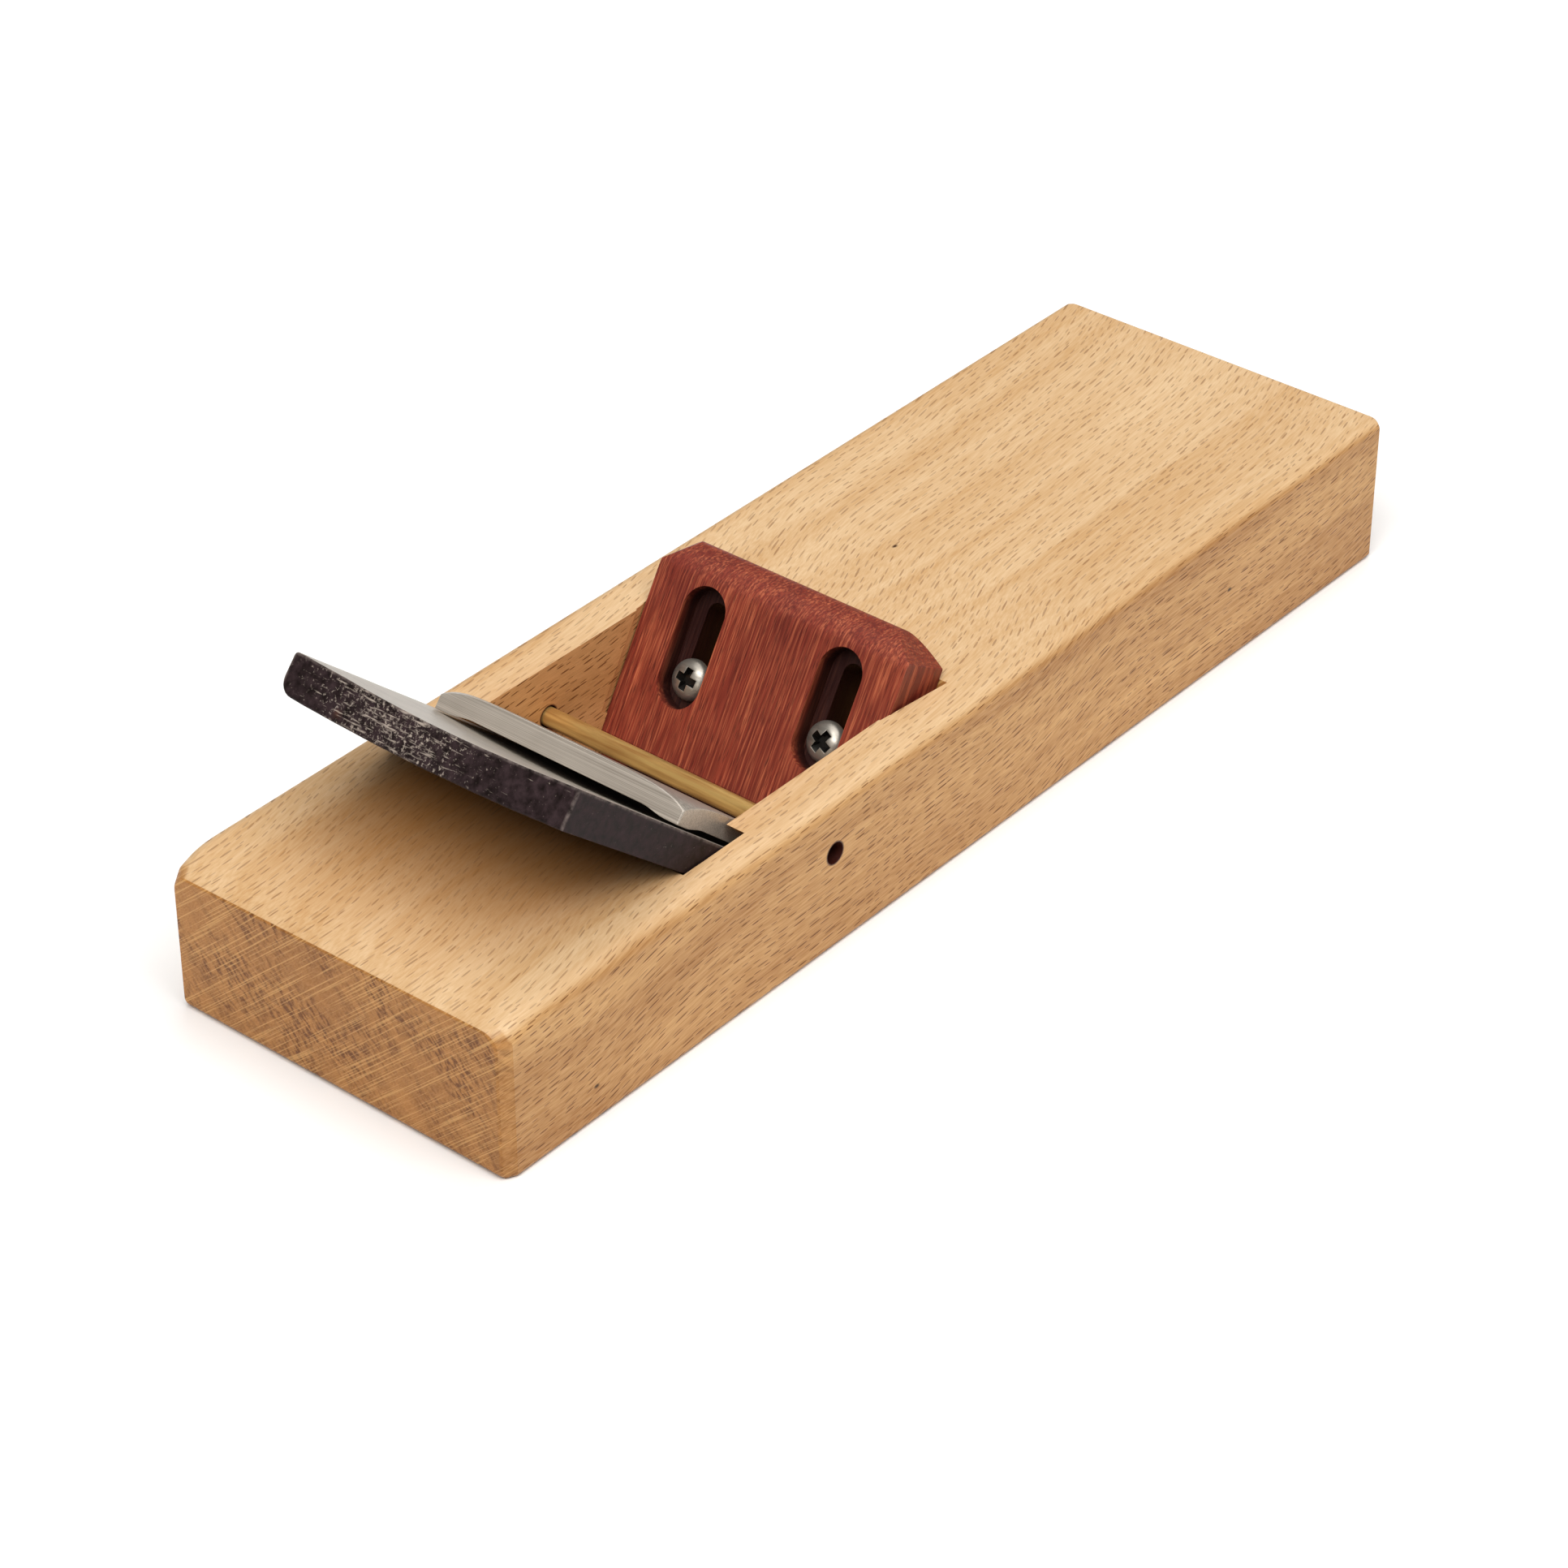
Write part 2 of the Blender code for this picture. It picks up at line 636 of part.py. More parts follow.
def build_screw(side, sign, finish, frame, turn):
    """One pan-head screw with a cross recess, on its own empty at its axis."""
    axis = bpy.data.objects.new(f"screw_axis_{side}", None)
    axis.parent = frame
    seat = FIT_GAP - COUNTERBORE_DEPTH
    axis.location = (screw_along(), sign * SLOT_SPACING / 2, seat)
    bpy.context.scene.collection.objects.link(axis)
    screw = lathe(f"mouthpiece_screw_{side}", screw_profile(), HOLE_SIDES, finish, axis)
    for number in (0, 1):
        bar_turn = turn + number * math.pi / 2
        cut(screw, recess_bar(f"recess_{side}_{number}", axis, bar_turn))
    smooth_rounds(screw)
    return screw


def build_insert(side, sign, finish, frame):
    """One threaded insert, sunk in the ramp around the screw's shank."""
    outer = INSERT_RADIUS
    inner = INSERT_BORE
    top = insert_top()
    low = insert_floor()
    tube = lathe(f"threaded_insert_{side}", [(0.0, low), (outer, low), (outer, top), (0.0, top)])
    tube.data.materials.append(finish)
    bore = lathe(f"insert_bore_{side}", [
        (0.0, low - OVERRUN),
        (inner, low - OVERRUN),
        (inner, top + OVERRUN),
        (0.0, top + OVERRUN),
    ])
    for made in (tube, bore):
        made.parent = frame
        made.location = (screw_along(), sign * SLOT_SPACING / 2, 0.0)
    cut(tube, bore)
    smooth_rounds(tube)
    return tube


def main():
    clear_scene()
    beech = material("beech", (0.62, 0.40, 0.20), 0.55)
    forged = material("forged_steel", (0.035, 0.03, 0.035), 0.5, 0.8)
    ground = material("ground_steel", (0.42, 0.39, 0.34), 0.35, 1.0)
    brass = material("plated_pin", (0.55, 0.36, 0.12), 0.35, 1.0)
    redwood = material("red_hardwood", (0.20, 0.035, 0.022), 0.5)
    nickel = material("nickel_plate", (0.5, 0.47, 0.42), 0.25, 1.0)

    along, outward = blade_frame_vectors()
    blade_frame = frame_empty("blade_frame", Vector((EDGE_X, 0.0, EDGE_LIFT)), along, outward)
    up_face = Vector((math.cos(RAMP_ANGLE), 0.0, math.sin(RAMP_ANGLE)))
    out_of_face = Vector((-math.sin(RAMP_ANGLE), 0.0, math.cos(RAMP_ANGLE)))
    foot = Vector((MOUTHPIECE_FOOT_X, 0.0, 0.0))
    mouth_frame = frame_empty("mouthpiece_frame", foot, up_face, out_of_face)

    build_block(beech)
    build_blade(forged, blade_frame)
    build_chip_breaker(ground, blade_frame)
    build_pin(brass)
    build_mouthpiece(redwood, mouth_frame)
    for side, sign, turn in (("left", 1, math.radians(20.0)), ("right", -1, math.radians(8.0))):
        build_screw(side, sign, nickel, mouth_frame, turn)
        build_insert(side, sign, brass, mouth_frame)


main()
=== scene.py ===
"""Looks of a low wooden pull plane: block, blade, chip breaker, pin, mouthpiece and its screws.

Metres, +Z up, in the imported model's own frame. The block runs along X with its head at -X, its
sole lies on Z = 0, and left is +Y, seen along +X. Sizes in the classes are millimetres, as they
would be on a maker's drawing, and mm() turns them into metres. Places come from the frame.
"""

from __future__ import annotations

import json
import logging
import math
from collections.abc import Callable, Sequence
from dataclasses import dataclass
from enum import Enum

import bmesh
import bpy
from mathutils import Matrix, Vector, noise


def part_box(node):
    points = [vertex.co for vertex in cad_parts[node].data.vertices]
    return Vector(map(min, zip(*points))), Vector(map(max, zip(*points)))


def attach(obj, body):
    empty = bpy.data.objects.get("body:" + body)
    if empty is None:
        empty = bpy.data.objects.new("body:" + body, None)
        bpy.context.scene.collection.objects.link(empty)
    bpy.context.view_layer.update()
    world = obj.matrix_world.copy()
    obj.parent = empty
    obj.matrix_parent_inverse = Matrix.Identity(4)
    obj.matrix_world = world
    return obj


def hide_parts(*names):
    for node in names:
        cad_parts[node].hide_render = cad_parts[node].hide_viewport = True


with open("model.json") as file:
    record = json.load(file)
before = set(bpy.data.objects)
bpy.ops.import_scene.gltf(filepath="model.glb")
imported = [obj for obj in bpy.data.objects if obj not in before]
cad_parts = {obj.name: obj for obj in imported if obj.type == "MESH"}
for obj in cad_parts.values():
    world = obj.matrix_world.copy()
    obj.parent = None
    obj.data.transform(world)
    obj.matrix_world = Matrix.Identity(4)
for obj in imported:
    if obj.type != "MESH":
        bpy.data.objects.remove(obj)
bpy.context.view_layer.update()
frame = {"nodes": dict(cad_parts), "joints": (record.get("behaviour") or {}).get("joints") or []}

LOG = logging.getLogger("pull_plane")
Feed = bpy.types.NodeSocket | float | tuple | str
Profile = Callable[[float], float]


def mm(value: float) -> float:
    """Millimetres as metres."""
    return value / 1000.0


class Side(Enum):
    """A side of the plane, as the sign of its Y."""

    LEFT = 1
    RIGHT = -1


class Coat(Enum):
    """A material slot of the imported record."""

    BEECH = "beech"
    FORGED = "forged_steel"
    GROUND = "ground_steel"
    PIN = "plated_pin"
    REDWOOD = "red_hardwood"
    NICKEL = "nickel_plate"
    BRASS = "turned_brass"


# ---------------------------------------------------------------------------- places


@dataclass(frozen=True)
class Slant:
    """A frame that leans about Y: an origin, the way up its face and the way out of it."""

    origin: Vector
    along: Vector
    outward: Vector

    def place(self, along: float, side: float, outward: float) -> Vector:
        """The point at these distances up the face, across it and out of it, in metres."""
        return self.origin + self.along * along + Vector((0.0, side, 0.0)) + self.outward * outward

    def lean(self) -> float:
        """The angle of the face above the sole, in radians, between 0 and 180 degrees."""
        return math.atan2(self.along.z, self.along.x)


@dataclass(frozen=True)
class Places:
    """Where the fitted pieces stand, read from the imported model.

    Attributes:
        blade: the blade's flat face, from its cutting edge upwards.
        bed: the direction up the block's bed, under the blade.
        mouth: the mouthpiece's front face, from where it would meet the sole.
        screws: each screw's seat and the way out of its head.
    """

    blade: Slant
    bed: Vector
    mouth: Slant
    screws: dict[Side, tuple[Vector, Vector]]


def joint(name: str) -> dict:
    """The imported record's joint of that name."""
    return next(entry for entry in frame["joints"] if entry["name"] == name)


def read_places(mouth_thickness: float) -> Places:
    """Reads the slanted frames and the screws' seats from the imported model.

    Args:
        mouth_thickness: the mouthpiece's thickness, in metres.

    Returns:
        The places that the pieces are built from.
    """
    face = Vector(joint("chip_breaker_slide")["axis"]).normalized()
    bed = Vector(joint("blade_slide")["axis"]).normalized()
    ramp = Vector(joint("mouthpiece_slide")["axis"]).normalized()
    edge = max((v.co for v in frame["nodes"]["blade"].data.vertices), key=lambda co: co.x)
    sole_line = [v.co for v in frame["nodes"]["mouthpiece"].data.vertices if v.co.z < mm(0.01)]
    back_foot = max(co.x for co in sole_line)
    foot = Vector((back_foot - mouth_thickness / ramp.z, 0.0, 0.0))
    blade = Slant(Vector((edge.x, 0.0, edge.z)), face, Vector((face.z, 0.0, -face.x)))
    mouth = Slant(foot, ramp, Vector((-ramp.z, 0.0, ramp.x)))
    screws = {}
    for side in Side:
        entry = joint(f"screw_{side.name.lower()}_turn")
        screws[side] = (Vector(entry["pos_m"]), Vector(entry["axis"]).normalized())
    return Places(blade, bed, mouth, screws)


# ---------------------------------------------------------------------------- mesh tools


def make_object(name: str, mesh: bpy.types.Mesh) -> bpy.types.Object:
    """Puts a mesh in the scene as an object at the origin."""
    made = bpy.data.objects.new(name, mesh)
    bpy.context.scene.collection.objects.link(made)
    return made


def from_bmesh(name: str, shape: bmesh.types.BMesh) -> bpy.types.Object:
    """Turns a finished bmesh into an object, with its faces pointing outwards."""
    bmesh.ops.recalc_face_normals(shape, faces=shape.faces)
    mesh = bpy.data.meshes.new(name)
    shape.to_mesh(mesh)
    shape.free()
    return make_object(name, mesh)


def loft(name: str, rings: Sequence[Sequence[Vector]]) -> bpy.types.Object:
    """Skins closed rings of points, in order, and caps both ends.

    Args:
        name: the object's name.
        rings: closed loops with the same number of points each.

    Returns:
        A closed mesh object.
    """
    shape = bmesh.new()
    loops = [[shape.verts.new(point) for point in ring] for ring in rings]
    for low, high in zip(loops, loops[1:]):
        for i, corner in enumerate(low):
            j = (i + 1) % len(low)
            shape.faces.new((corner, low[j], high[j], high[i]))
    shape.faces.new(loops[0])
    shape.faces.new(loops[-1])
    return from_bmesh(name, shape)


def prism(name: str, outline: Sequence[tuple[float, float]], place: Callable, span: tuple) -> bpy.types.Object:
    """Runs an outline straight between two depths.

    Args:
        name: the object's name.
        outline: the outline as (a, b) pairs, in metres.
        place: turns a, b and a depth into a point.
        span: the two depths, in metres.

    Returns:
        A closed mesh object.
    """
    return loft(name, [[place(a, b, depth) for a, b in outline] for depth in span])


def arc(centre: tuple[float, float], radius: float, start: float, end: float, steps: int) -> list:
    """Points on an arc between two angles in degrees, as (a, b) pairs."""
    turns = [math.radians(start + (end - start) * i / steps) for i in range(steps + 1)]
    return [(centre[0] + radius * math.cos(t), centre[1] + radius * math.sin(t)) for t in turns]


def lathe(name: str, profile: Sequence[tuple[float, float]], sides: int, pose: Matrix) -> bpy.types.Object:
    """Turns a profile about Z and puts it in place.

    Args:
        name: the object's name.
        profile: (radius, height) pairs whose first and last radius are zero.
        sides: how many sides the turned surface has.
        pose: where the turned shape goes.

    Returns:
        A closed mesh object.
    """
    shape = bmesh.new()
    line = [shape.verts.new((radius, 0.0, height)) for radius, height in profile]
    edges = [shape.edges.new(pair) for pair in zip(line, line[1:])]
    bmesh.ops.spin(shape, geom=line + edges, axis=(0, 0, 1), cent=(0, 0, 0), angle=math.tau, steps=sides)
    bmesh.ops.remove_doubles(shape, verts=shape.verts, dist=mm(0.001))
    shape.transform(pose)
    return from_bmesh(name, shape)


def baked(made: bpy.types.Object) -> bpy.types.Object:
    """Turns an object's modifiers into plain mesh."""
    graph = bpy.context.evaluated_depsgraph_get()
    mesh = bpy.data.meshes.new_from_object(
        made.evaluated_get(graph), preserve_all_data_layers=True, depsgraph=graph
    )
    made.modifiers.clear()
    made.data = mesh
    mesh.name = made.name
    return made


def carve(made: bpy.types.Object, cutters: Sequence[bpy.types.Object]) -> bpy.types.Object:
    """Cuts closed shapes out of a piece and removes them from the scene."""
    for cutter in cutters:
        boolean = made.modifiers.new(cutter.name, "BOOLEAN")
        boolean.object = cutter
        boolean.solver = "EXACT"
    baked(made)
    for cutter in cutters:
        bpy.data.objects.remove(cutter)
    return made


def soften(made: bpy.types.Object, width: float, steps: int, chosen: Callable) -> bpy.types.Object:
    """Rounds the edges of a piece that a test picks.

    Args:
        made: the piece.
        width: how far the round reaches from the edge, in metres.
        steps: how many faces the round has.
        chosen: takes an edge and says whether it is rounded.

    Returns:
        The same piece.
    """
    shape = bmesh.new()
    shape.from_mesh(made.data)
    bmesh.ops.dissolve_limit(shape, angle_limit=math.radians(0.05), verts=shape.verts, edges=shape.edges)
    picked = [edge for edge in shape.edges if edge.is_manifold and chosen(edge)]
    bmesh.ops.bevel(
        shape, geom=picked, offset=width, segments=steps, profile=0.5, affect="EDGES", clamp_overlap=True
    )
    bmesh.ops.remove_doubles(shape, verts=shape.verts, dist=mm(0.002))
    shape.to_mesh(made.data)
    shape.free()
    return made


def shaded(made: bpy.types.Object, sharp_angle: float = 34.0) -> bpy.types.Object:
    """Shades a piece smooth, with flat faces kept flat and real edges kept sharp."""
    made.data.shade_smooth()
    made.data.set_sharp_from_angle(angle=math.radians(sharp_angle))
    weighted = made.modifiers.new("even_normals", "WEIGHTED_NORMAL")
    weighted.keep_sharp = True
    return baked(made)


def dress(made: bpy.types.Object, coat: Coat, materials: dict[Coat, bpy.types.Material]) -> None:
    """Gives a piece its material."""
    made.data.materials.clear()
    made.data.materials.append(materials[coat])


def smooth_step(value: float, low: float, high: float) -> float:
    """Rises smoothly from 0 at low to 1 at high."""
    t = min(1.0, max(0.0, (value - low) / (high - low)))
    return t * t * (3.0 - 2.0 * t)


def round_inset(distance: float, radius: float) -> float:
    """How far a rounded edge falls back, at a distance from its end."""
    if distance >= radius:
        return 0.0
    return radius - math.sqrt(max(0.0, radius * radius - (radius - distance) ** 2))


def spread(low: float, high: float, count: int) -> list[float]:
    """Evenly spaced values from low to high, both ends included."""
    return [low + (high - low) * i / (count - 1) for i in range(count)]


# ---------------------------------------------------------------------------- the block


@dataclass
class Block:
    """The beech block. Sizes are millimetres.

    The head's top edge is planed off to a crest that blends into the top, a little deeper on the
    left. The throat holds the blade in side grooves, and the mouthpiece in a slightly wider pocket.
    """

    places: Places
    crest_run: float = 7.2
    crest_drop: float = 2.4
    crest_tilt: float = 0.0085
    crest_blend: float = 1.3
    corner_run: float = 2.8
    corner_in: float = 1.5
    top_round_head: float = 3.6
    top_round_tail: float = 2.0
    sole_round: float = 1.0
    head_edge: float = 0.4
    tail_edge: float = 0.6
    tail_corner: float = 1.0
    throat_half: float = 30.6
    groove_flare: float = 5.2
    groove_foot: float = 8.2
    blade_thickness: float = 8.0
    blade_length: float = 100.7
    mouth_thickness: float = 12.9
    pocket_relief: float = 1.4
    insert_radius: float = 3.3
    insert_reach: float = 23.0
    pin_hole_radius: float = 2.3
    pin_hole_blind: float = 3.5
    fit: float = 0.3
    rim_round: float = 0.28

    def crest(self, from_head: float) -> float:
        """How far the crest lies below the top, at a distance from the head, in millimetres."""
        slope = self.crest_drop / self.crest_run
        turn = (self.crest_run - from_head) / self.crest_blend
        return slope * self.crest_blend * math.log1p(math.exp(turn))

    def ring(self, x: float) -> list[Vector]:
        """The block's outline across X at one station.

        Args:
            x: the station, in millimetres in the frame.

        Returns:
            The closed outline's points.
        """
        low, high = (corner * 1000.0 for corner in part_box("plane_block"))
        from_head, from_tail = x - low.x, high.x - x
        edge = round_inset(from_head, self.head_edge) + round_inset(from_tail, self.tail_edge)
        corner = self.corner_in * max(0.0, 1.0 - from_head / self.corner_run)
        corner += self.tail_corner * max(0.0, 1.0 - from_tail / self.tail_corner)
        half = high.y - edge - corner
        foot = max(0.0, self.sole_round - from_head) + edge
        drop = self.crest(from_head)
        share = from_head / (high.x - low.x)
        r = self.top_round_head + (self.top_round_tail - self.top_round_head) * share
        s = self.sole_round

        def top(y: float) -> float:
            """The height of the top at one Y."""
            return high.z - edge - drop * (1.0 + self.crest_tilt * y)

        points = []
        for y, z in arc((half - r, -r), r, 0.0, 90.0, 7):
            points.append((y, top(y) + z))
        for y, z in arc((r - half, -r), r, 90.0, 180.0, 7):
            points.append((y, top(y) + z))
        points += arc((s - half, foot + s), s, 180.0, 270.0, 4)
        points += arc((half - s, foot + s), s, 270.0, 360.0, 4)
        return [Vector((mm(x), mm(y), mm(z))) for y, z in points]

    def stations(self) -> list[float]:
        """The X of each outline: close together at the ends, where the block is shaped."""
        low, high = (corner.x * 1000.0 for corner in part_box("plane_block"))
        head = [0.0, 0.06, 0.16, 0.28, 0.4, 1.0, 1.6, 2.2, 2.8, 3.8, 4.8, 5.8, 6.8, 7.8, 9.0, 10.5, 12.5, 15.0, 18.0]
        tail = [2.0, 1.0, 0.7, 0.45, 0.2, 0.06, 0.0]
        return [low + step for step in head] + [high - step for step in tail]

    def bed_point(self, along: float) -> tuple[float, float]:
        """The (x, z) of the bed's surface, in metres, from how far up the blade it is."""
        slant = self.places.blade
        taper = math.tan(self.places.bed.angle(slant.along))
        depth = self.blade_thickness - (self.blade_length - along) * taper + self.fit
        point = slant.place(mm(along), 0.0, -mm(depth))
        return point.x, point.z

    def face_point(self, along: float, outward: float) -> tuple[float, float]:
        """The (x, z) of a point on the blade's side of the throat, in metres."""
        point = self.places.blade.place(mm(along), 0.0, mm(outward))
        return point.x, point.z

    def mouth_point(self, along: float, outward: float) -> tuple[float, float]:
        """The (x, z) of a point on the mouthpiece's side of the throat, in metres."""
        point = self.places.mouth.place(mm(along), 0.0, mm(outward))
        return point.x, point.z

    def throat_cutters(self) -> list[bpy.types.Object]:
        """The shapes cut out for the throat, the blade's grooves and the mouthpiece's pocket."""

        def across(a: float, b: float, depth: float) -> Vector:
            """Places an outline in the XZ plane, run along Y."""
            return Vector((a, depth, b))

        top = self.blade_length
        middle = -self.mouth_thickness / 2
        bed = [self.bed_point(0.0), self.bed_point(self.groove_foot), self.bed_point(top)]
        throat = bed + [self.mouth_point(top, middle), self.mouth_point(0.0, middle)]
        flare = self.fit + (top - self.groove_foot) * math.tan(math.radians(self.groove_flare))
        front = [self.face_point(top, flare), self.face_point(self.groove_foot, self.fit)]
        groove = bed[1:] + front
        back = -self.mouth_thickness - self.fit
        corners = ((-12.0, self.fit), (60.0, self.fit), (60.0, back), (-12.0, back))
        pocket = [self.mouth_point(a, b) for a, b in corners]
        blade_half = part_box("blade")[1].y + mm(self.fit)
        pocket_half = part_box("mouthpiece")[1].y + mm(self.fit)
        return [
            prism("throat_cutter", throat, across, (-mm(self.throat_half), mm(self.throat_half))),
            prism("groove_cutter", groove, across, (-blade_half, blade_half)),
            prism("pocket_cutter", pocket, across, (-pocket_half, pocket_half)),
            self.relief_cutter(pocket_half, back),
        ]

    def relief_cutter(self, pocket_half: float, back: float) -> bpy.types.Object:
        """The shallow wedge pared off both pocket walls, deepest at the ramp."""
        wide = pocket_half * 1000.0
        outline = [
            (2.5, wide - 0.4),
            (back, wide + self.pocket_relief),
            (back, -wide - self.pocket_relief),
            (2.5, 0.4 - wide),
        ]

        def up_ramp(a: float, b: float, depth: float) -> Vector:
            """Places a plan outline in the mouthpiece's frame, run up its face."""
            return self.places.mouth.place(depth, mm(b), mm(a))

        return prism("relief_cutter", outline, up_ramp, (mm(16.0), mm(60.0)))

    def hole_cutters(self) -> list[bpy.types.Object]:
        """The shapes cut out for the pin and for the inserts in the ramp."""
        low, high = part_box("plane_block")
        pin_low, pin_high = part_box("retaining_pin")
        pin = (pin_low + pin_high) / 2
        across = Matrix.Rotation(math.radians(-90.0), 4, "X")
        start = Matrix.Translation((pin.x, low.y - mm(5.0), pin.z))
        length = high.y - low.y + mm(5.0 - self.pin_hole_blind)
        radius = mm(self.pin_hole_radius)
        rod = [(0.0, 0.0), (radius, 0.0), (radius, length), (0.0, length)]
        cutters = [lathe("pin_hole_cutter", rod, 48, start @ across)]
        for side in Side:
            seat, outward = self.places.screws[side]
            inward = outward.to_track_quat("Z", "Y").to_matrix().to_4x4()
            reach = mm(self.insert_reach)
            well = [(0.0, -reach), (mm(self.insert_radius), -reach), (mm(self.insert_radius), 0.0), (0.0, 0.0)]
            cutters.append(lathe(f"insert_{side.name}", well, 40, Matrix.Translation(seat) @ inward))
        return cutters

    def on_rim(self, edge: bmesh.types.BMEdge) -> bool:
        """Whether an edge is a sharp outer one, which a hand plane's maker eases."""
        return edge.is_convex and edge.calc_face_angle(0.0) > math.radians(36.0)

    def build(self, materials: dict[Coat, bpy.types.Material]) -> bpy.types.Object:
        """Builds the block and puts it on its body."""
        made = loft("beech_block", [self.ring(x) for x in self.stations()])
        carve(made, self.throat_cutters() + self.hole_cutters())
        soften(made, mm(self.rim_round), 2, self.on_rim)
        shaded(made, 25.0)
        dress(made, Coat.BEECH, materials)
        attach(made, "block")
        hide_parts("plane_block")
        return made


# ---------------------------------------------------------------------------- plates of steel


@dataclass(frozen=True)
class Rounds:
    """The corner rounds of a plate's cross-section, in millimetres."""

    front_left: float
    front_right: float
    back_left: float
    back_right: float


def plate_ring(half: float, front: Profile, back: Profile, rounds: Rounds, columns: int) -> list:
    """A plate's closed cross-section, across its width.

    Args:
        half: half of the width.
        front: the height of the front face at one Y.
        back: the height of the back face at one Y.
        rounds: the corner rounds.
        columns: how many points run across each face.

    Returns:
        (y, height) pairs, all in millimetres.
    """
    side_shares = (0.07, 0.17, 0.4, 0.7)
    points = []
    for y in spread(rounds.front_right - half, half - rounds.front_left, columns):
        points.append((y, front(y)))
    r = rounds.front_left
    points += arc((half - r, front(half - r) - r), r, 90.0, 0.0, 4)[1:]
    top_end, r = points[-1], rounds.back_left
    foot = back(half - r) + r
    points += [(half, top_end[1] + (foot - top_end[1]) * share) for share in side_shares]
    points += arc((half - r, foot), r, 0.0, -90.0, 6)[:-1]
    for y in spread(half - rounds.back_left, rounds.back_right - half, columns):
        points.append((y, back(y)))
    r = rounds.back_right
    points += arc((r - half, back(r - half) + r), r, -90.0, -180.0, 4)[1:]
    foot_end, r = points[-1], rounds.front_right
    brow = front(r - half) - r
    points += [(-half, brow + (foot_end[1] - brow) * share) for share in reversed(side_shares)]
    points += arc((r - half, brow), r, 180.0, 90.0, 4)[:-1]
    return points


